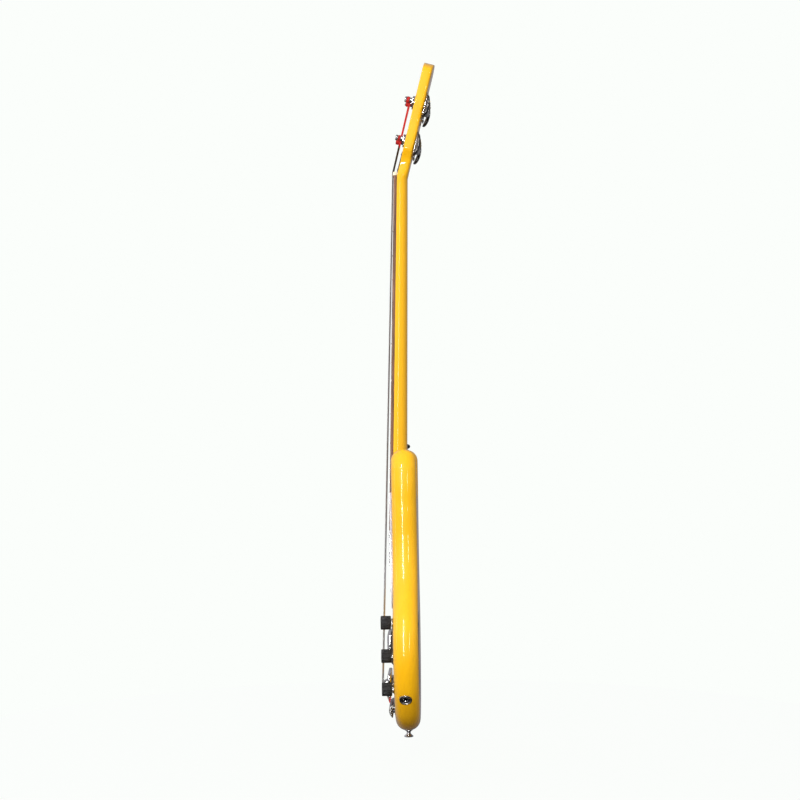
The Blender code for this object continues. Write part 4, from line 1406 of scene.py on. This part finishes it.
class BASS_OT_bridge(bpy.types.Operator):
    """Makes the bridge: bar, posts with thumbwheels, saddles and their screws"""
    bl_idname = "bass.bridge"
    bl_label = "Bridge"

    def execute(self, context):
        bar = block("bridge_frame", (-49, -885, 6.4), (49, -847, 12.4), Matrix(), 2.0, 4)
        carve(bar, block("trough", (-36, -881, 9.4), (36, -851, 20), Matrix(), 0.8))
        settle(bar, BODY)
        finish_piece(bar, look("chrome"), stands_for=("bridge_bar",))
        for label, side in (("bass", -1), ("treble", 1)):
            place = BODY @ at(side * BRIDGE_POST[0], -BRIDGE_POST[1], 0)
            self.post(label, place)
        for row in STRINGS:
            self.saddle(row)
        return {"FINISHED"}

    def post(self, label, place):
        stem = threaded("stem", 3.0, 0.35, 1.0, -13.5, 6.2, Matrix(), 20)
        tip = turned("tip", [(2.9, 6.0), (2.9, 12.6), (2.6, 12.9)], Matrix(), 32)
        carve(tip, block("slot", (-4, -0.45, 12.0), (4, 0.45, 14), Matrix()))
        outline = []
        for notch in range(48):
            for share, radius in ((0.0, 7.5), (0.5, 7.15)):
                turn = 2 * math.pi * (notch + share) / 48
                outline.append((radius * math.cos(turn), radius * math.sin(turn)))
        wheel = extruded("wheel", outline, 3.4, 6.1, Matrix())
        soften(wheel, 0.25, 1, 60)
        carve(wheel, turned("bore", [(2.95, 0), (2.95, 9)], Matrix(), 24))
        post = join(f"bridge_{label}_screw", [stem, tip, wheel])
        settle(post, place)
        finish_piece(post, look("chrome"), stands_for=("bridge_post_" + label,))

    def saddle(self, row):
        name, radius, _, across, down = row
        ridge = STRING_AT_SADDLE - radius - 0.02
        outline = [(5.5, 9.7), (5.5, 13.0), (1.0, ridge), (-1.0, ridge), (-5.5, 13.6), (-5.5, 9.7)]
        shape = [(-down + along, out) for along, out in outline]
        saddle = run_across(f"saddle_{name}_block", shape, 6.4, Matrix(), across, 0.5)
        groove = tube("groove", [Vector((across, -down + y, STRING_AT_SADDLE + rise)) * MM
                                 for y, rise in ((8, 0.1), (0, 0.25), (-8, -1.0))], radius)
        carve(saddle, groove)
        carve(saddle, turned("screw_hole", [(1.7, -20), (1.7, 20)],
                             at(across, -down, 11.8) @ Matrix.Rotation(math.radians(90), 4, "X"), 24))
        settle(saddle, BODY)
        finish_piece(
            saddle, look("chrome"), body="saddle_block_" + name,
            stands_for=("saddle_" + name,)
        )
        along = BODY @ at(across, -866, 11.8) @ Matrix.Rotation(math.radians(90), 4, "X")
        rod = threaded("rod", 1.5, 0.25, 0.8, -15.2, 15.0, Matrix(), 12)
        head = screw_head("head", 2.6, 1.6, at(0, 0, 15.0 + 3.9), cross=False)
        neck = turned("head_neck", [(1.5, 14.9), (1.5, 19.0)], Matrix(), 20)
        screw = join(f"saddle_{name}_screw", [rod, head, neck])
        settle(screw, along)
        finish_piece(screw, look("steel"))


class BASS_OT_tailpiece(bpy.types.Operator):
    """Makes the claw-shaped tailpiece with a slot for each string, and its two studs"""
    bl_idname = "bass.tailpiece"
    bl_label = "Tailpiece"

    def execute(self, context):
        outline = [(-898, 1.6), (-898.6, 6), (-900.6, 9.2), (-904, 10.8), (-909, 11), (-914, 9.8),
                   (-918, 7.6),
                   (-920.5, 5.2), (-919, 4.2), (-914, 5.6), (-909, 6), (-905, 4.8), (-902, 1.6)]
        tail = run_across("tailpiece_claw", outline, 44, Matrix(), 0.0, 0.7)
        for side in (-1, 1):
            carve(
                tail,
                turned("stud_seat", [(4.9, 4.6), (4.9, 8.4)], at(side * TAIL_STUD[0], -TAIL_STUD[1], 0), 32)
            )
        settle(tail, BODY)
        for row in STRINGS:
            spot = Vector((row[3], 0, 0))
            path = [
                BODY @ ((spot + Vector((0, y, out))) * MM) for y,
                out in ((-890, 11.9), (-897.5, 9.4), (-904, 7.2))
            ]
            carve(tail, tube("string_hole", path, row[1] * 1.14 + 0.25))
        # The tailpiece takes the chrome with painted dark reflection.
        finish_piece(tail, look("dark_reflection_chrome"), stands_for=("tailpiece",))
        for label, side in (("bass", -1), ("treble", 1)):
            stud = turned(
                "stud",
                [(4.0, -14), (4.0, 0.2), (6.6, 0.3), (6.8, 0.8), (6.6, 1.3), (3.9, 1.5), (3.9, 4.4)],
                Matrix(), 40
            )
            settle(stud, BODY @ at(side * TAIL_STUD[0], -TAIL_STUD[1], 0))
            named(f"tailpiece_{label}_bolt")
            finish_piece(stud, look("chrome"), stands_for=("tailpiece_stud_" + label,))
        return {"FINISHED"}


# ---------------------------------------------------------------- controls, jack and strap buttons

class BASS_OT_controls(bpy.types.Operator):
    """Makes the three finely ribbed knobs, their shafts and their pots"""
    bl_idname = "bass.controls"
    bl_label = "Controls"

    def execute(self, context):
        knob = self.knob()
        pointer = self.pointer()
        for name in CONTROLS:
            across, down = knob_spot(name)
            place = BODY @ at(across, -down, 0)
            finish_piece(copy_of(knob, name + "_cap", place), look("black"), body=name + "_control",
                         stands_for=(name + "_knob",))
            finish_piece(copy_of(pointer, name + "_pointer", place), look("guard"), body=name + "_control")
            self.pot(name, place)
            shaft = turned(name + "_spindle", [(2.9, -9.5), (2.9, 14.0), (2.6, 14.6)], place, 32)
            finish_piece(
                shaft, look("steel"), body=name + "_control", stands_for=(name + "_shaft",)
            )
        for item in (knob, pointer):
            bpy.data.objects.remove(item, do_unlink=True)
        return {"FINISHED"}

    def knob(self):
        ribs = 60
        rings = []
        for radius, out, ribbed in ((10.8, 3.5, 0), (11.2, 3.8, 0), (11.25, 4.6, 1), (11.35, 5.2, 1),
                (11.35, 18.8, 1),
                                    (11.25, 19.4, 1), (11.05, 19.9, 0), (10.6, 20.3, 0),
                                    (10.1, 20.4, 0), (9.4, 20.3, 0),
                                    (8.8, 20.0, 0), (5.0, 19.85, 0)):
            ring = []
            for step in range(ribs * 4):
                turn = 2 * math.pi * step / (ribs * 4)
                size = radius - (0.22 if ribbed and step % 4 in (0, 3) else 0.0)
                ring.append((size * math.cos(turn), size * math.sin(turn), out))
            rings.append(ring)
        knob = lofted("knob", rings)
        carve(knob, turned("bore", [(3.2, 0), (3.2, 15.2)], Matrix(), 32))
        return knob

    def pointer(self):
        return block("pointer", (-0.5, 4.6, 19.5), (0.5, 9.9, 20.38), Matrix(), 0.12, 2)

    def pot(self, name, place):
        nut = hex_nut("nut", 7.0, 1.0, 3.0, 4.5, Matrix())
        washer = turned(
            "washer", [(4.4, 0.3), (7.4, 0.3), (7.6, 0.5), (7.6, 0.8), (7.4, 1.0), (4.4, 1.0), (4.4, 0.3)],
            Matrix(), 40
        )
        sleeve = threaded("sleeve", 4.65, 0.3, 0.9, -6.3, 3.2, Matrix(), 24)
        can = turned("can", [(8.0, -17), (8.2, -16.4), (8.2, -7.0), (7.8, -6.4), (3.2, -6.3)], Matrix(), 40)
        pot = join(name + "_potentiometer", [nut, washer, sleeve, can])
        settle(pot, place)
        finish_piece(pot, look("steel"), stands_for=(name + "_pot",))


class BASS_OT_jack(bpy.types.Operator):
    """Makes the dished jack ring and the socket in it"""
    bl_idname = "bass.jack"
    bl_label = "Jack"

    def execute(self, context):
        ring = turned("jack_dish", [(6.9, -3.0), (10.5, -3.0), (10.5, -0.1), (10.35, 0.3), (9.95, 0.45),
        (9.4, 0.3), (8.5, -0.5),
                                    (7.5, -1.2), (6.9, -1.35), (6.9, -3.0)], JACK_PLACE, 64)
        finish_piece(ring, look("nickel"), stands_for=("jack_ring",), sharp=50)
        lip = [(6.3, -24), (6.3, -1.2), (6.1, -0.75), (5.6, -0.55), (4.9, -0.6), (4.3, -0.9),
               (3.8, -1.3), (3.6, -1.9),
               (3.6, -24)]
        socket = turned("jack_sleeve", lip + [lip[0]], JACK_PLACE, 64)
        finish_piece(socket, look("chrome"), stands_for=("jack_socket",), sharp=50)
        plug = turned("jack_inside", [(3.5, -23.5), (3.5, -21.0)], JACK_PLACE, 32)
        finish_piece(plug, look("black"))
        return {"FINISHED"}


class BASS_OT_strap_buttons(bpy.types.Operator):
    """Makes the two strap buttons with their felt washers and screws"""
    bl_idname = "bass.strap_buttons"
    bl_label = "Strap buttons"

    def execute(self, context):
        profile = [(2.2, 1.4), (7.0, 1.4), (7.0, 2.0), (6.2, 2.6), (4.4, 3.8), (3.5, 5.0), (3.3, 6.4),
                   (3.6, 7.6), (4.8, 9.2),
                   (6.6, 10.8), (7.7, 11.7), (8.0, 12.2), (7.9, 12.9), (7.2, 13.5), (6.2, 13.8),
                   (4.6, 13.6), (3.4, 12.4)]
        for name, place in (("end", END_BUTTON), ("horn", HORN_BUTTON)):
            knob = turned(f"{name}_button_turning", profile, place, 64)
            finish_piece(
                knob, look("chrome"), stands_for=(name + "_strap_button",), sharp=50
            )
            pad = turned(
                f"{name}_button_felt",
                [(2.3, 0.1), (6.9, 0.1), (7.1, 0.4), (7.1, 1.1), (6.9, 1.4), (2.3, 1.4)], place, 48
            )
            finish_piece(pad, look("felt"))
            head = screw_head(f"{name}_button_head", 3.2, 1.3, place @ at(0, 0, 12.4))
            finish_piece(head, look("steel"))
        return {"FINISHED"}


# ---------------------------------------------------------------- studio

class BASS_OT_studio(bpy.types.Operator):
    """Sets the camera, the pale floor and the soft lights"""
    bl_idname = "bass.studio"
    bl_label = "Studio"

    def execute(self, context):
        scene = context.scene
        self.camera(scene)
        self.floor()
        self.lights(scene)
        self.world(scene)
        scene.view_settings.view_transform = "Standard"
        return {"FINISHED"}

    def camera(self, scene):
        settings = scene.bass_studio
        target = Vector(CAMERA_TARGET)
        turn = math.radians(settings.azimuth)
        side = Vector((math.sin(turn), -math.cos(turn), 0))
        data = bpy.data.cameras.new("studio_camera")
        data.lens = settings.lens
        data.sensor_width = 36
        camera = bpy.data.objects.new("studio_camera", data)
        scene.collection.objects.link(camera)
        facing = (-side).to_track_quat("-Z", "Y").to_matrix().to_4x4()
        roll = Matrix.Rotation(math.radians(-settings.roll), 4, "Z")
        camera.matrix_world = Matrix.Translation(target + side * settings.distance) @ facing @ roll
        scene.camera = camera

    def floor(self):
        made, tree, shader = finish_of(
            "Pale Floor", (0.08, 0.08, 0.08), Roughness=0.9, Emission_Strength=1.0
        )
        coords = node(tree, "TexCoord").outputs["Object"]
        speckle = noise(tree, coords, 60.0, 4.0)
        feed(
            tree, mixed(tree, speckle, (0.925, 0.945, 0.925), (0.93, 0.95, 0.93)), shader, "Emission Color"
        )
        feed(tree, mixed(tree, speckle, (0.008, 0.008, 0.008), (0.012, 0.012, 0.012)), shader, "Base Color")
        floor = turned("studio_floor", [(900, -990), (900, -985)], Matrix(), 96)
        floor.data.materials.append(made)
        floor.visible_diffuse = False
        floor.visible_glossy = False

    def lights(self, scene):
        for name, azimuth, height, distance, width, length, power in LIGHTS:
            data = bpy.data.lights.new(name, "AREA")
            data.shape = "RECTANGLE"
            data.size = width
            data.size_y = length
            data.energy = power
            light = bpy.data.objects.new(name, data)
            scene.collection.objects.link(light)
            turn = math.radians(azimuth)
            side = Vector((math.sin(turn), -math.cos(turn), 0))
            target = Vector(LIGHT_TARGET)
            light.location = side * distance + Vector((0, 0, height))
            light.rotation_euler = (target - light.location).to_track_quat("-Z", "Y").to_euler()
            light.visible_glossy = name.startswith("strip")
            light.visible_diffuse = not light.visible_glossy

    def world(self, scene):
        """Pale for the camera; for lighting, bright above and dim below."""
        world = bpy.data.worlds.new("studio_world")
        scene.world = world
        world.use_nodes = True
        tree = world.node_tree
        tree.nodes.clear()
        output = node(tree, "OutputWorld")
        seen = node(tree, "Background", {"Color": (0.965, 0.99, 0.965, 1), "Strength": 1.0})
        facing = node(tree, "TexCoord").outputs["Generated"]
        parts = node(tree, "SeparateXYZ", {0: facing}).outputs
        high = ranged(tree, parts["Z"], -0.8, 0.4, 0.10, 0.75)
        tint = mixed(tree, ranged(tree, parts["Z"], -0.8, 0.0), (1.0, 0.90, 0.78), (0.97, 0.98, 1.0))
        lit = node(tree, "Background", {"Color": tint, "Strength": high})
        front = ranged(tree, parts["Y"], -0.6, 0.5, 0.62, 0.16)
        low = ranged(tree, parts["Z"], -0.7, 0.2, 0.04, 1.0)
        mirrored = node(
            tree, "Background",
            {"Color": (0.93, 0.92, 1.0, 1), "Strength": maths(tree, "MULTIPLY", front, low)}
        )
        path = node(tree, "LightPath").outputs
        indirect = node(
            tree, "MixShader", {0: path["Is Glossy Ray"], 1: lit.outputs[0], 2: mirrored.outputs[0]}
        )
        chosen = node(
            tree, "MixShader", {0: path["Is Camera Ray"], 1: indirect.outputs[0], 2: seen.outputs[0]}
        )
        tree.links.new(chosen.outputs[0], output.inputs["Surface"])


# ---------------------------------------------------------------- panel and start

PIECES = (
    BASS_OT_body, BASS_OT_neck, BASS_OT_board, BASS_OT_nut, BASS_OT_strings, BASS_OT_tuners,
    BASS_OT_pickguard,
    BASS_OT_pickups, BASS_OT_covers, BASS_OT_bridge, BASS_OT_tailpiece, BASS_OT_controls, BASS_OT_jack,
    BASS_OT_strap_buttons, BASS_OT_studio,
)


class BASS_PT_builder(bpy.types.Panel):
    """Lists the operators and their settings"""
    bl_label = "Electric Bass"
    bl_idname = "BASS_PT_builder"
    bl_space_type = "VIEW_3D"
    bl_region_type = "UI"
    bl_category = "Bass"

    def draw(self, context):
        layout = self.layout
        for settings in (context.scene.bass_sizes, context.scene.bass_colours, context.scene.bass_studio):
            box = layout.box()
            for field in settings.bl_rna.properties:
                if field.identifier not in ("name", "rna_type"):
                    box.prop(settings, field.identifier)
        for operator in PIECES:
            layout.operator(operator.bl_idname)


CLASSES = (BassSizes, BassColours, StudioSettings) + PIECES + (BASS_PT_builder,)


def register():
    for item in CLASSES:
        bpy.utils.register_class(item)
    bpy.types.Scene.bass_sizes = PointerProperty(type=BassSizes)
    bpy.types.Scene.bass_colours = PointerProperty(type=BassColours)
    bpy.types.Scene.bass_studio = PointerProperty(type=StudioSettings)


def unregister():
    del bpy.types.Scene.bass_studio
    del bpy.types.Scene.bass_colours
    del bpy.types.Scene.bass_sizes
    for item in reversed(CLASSES):
        bpy.utils.unregister_class(item)


def main():
    register()
    for operator in PIECES:
        getattr(bpy.ops.bass, operator.bl_idname.split(".")[1])()


if __name__ == "__main__":
    main()
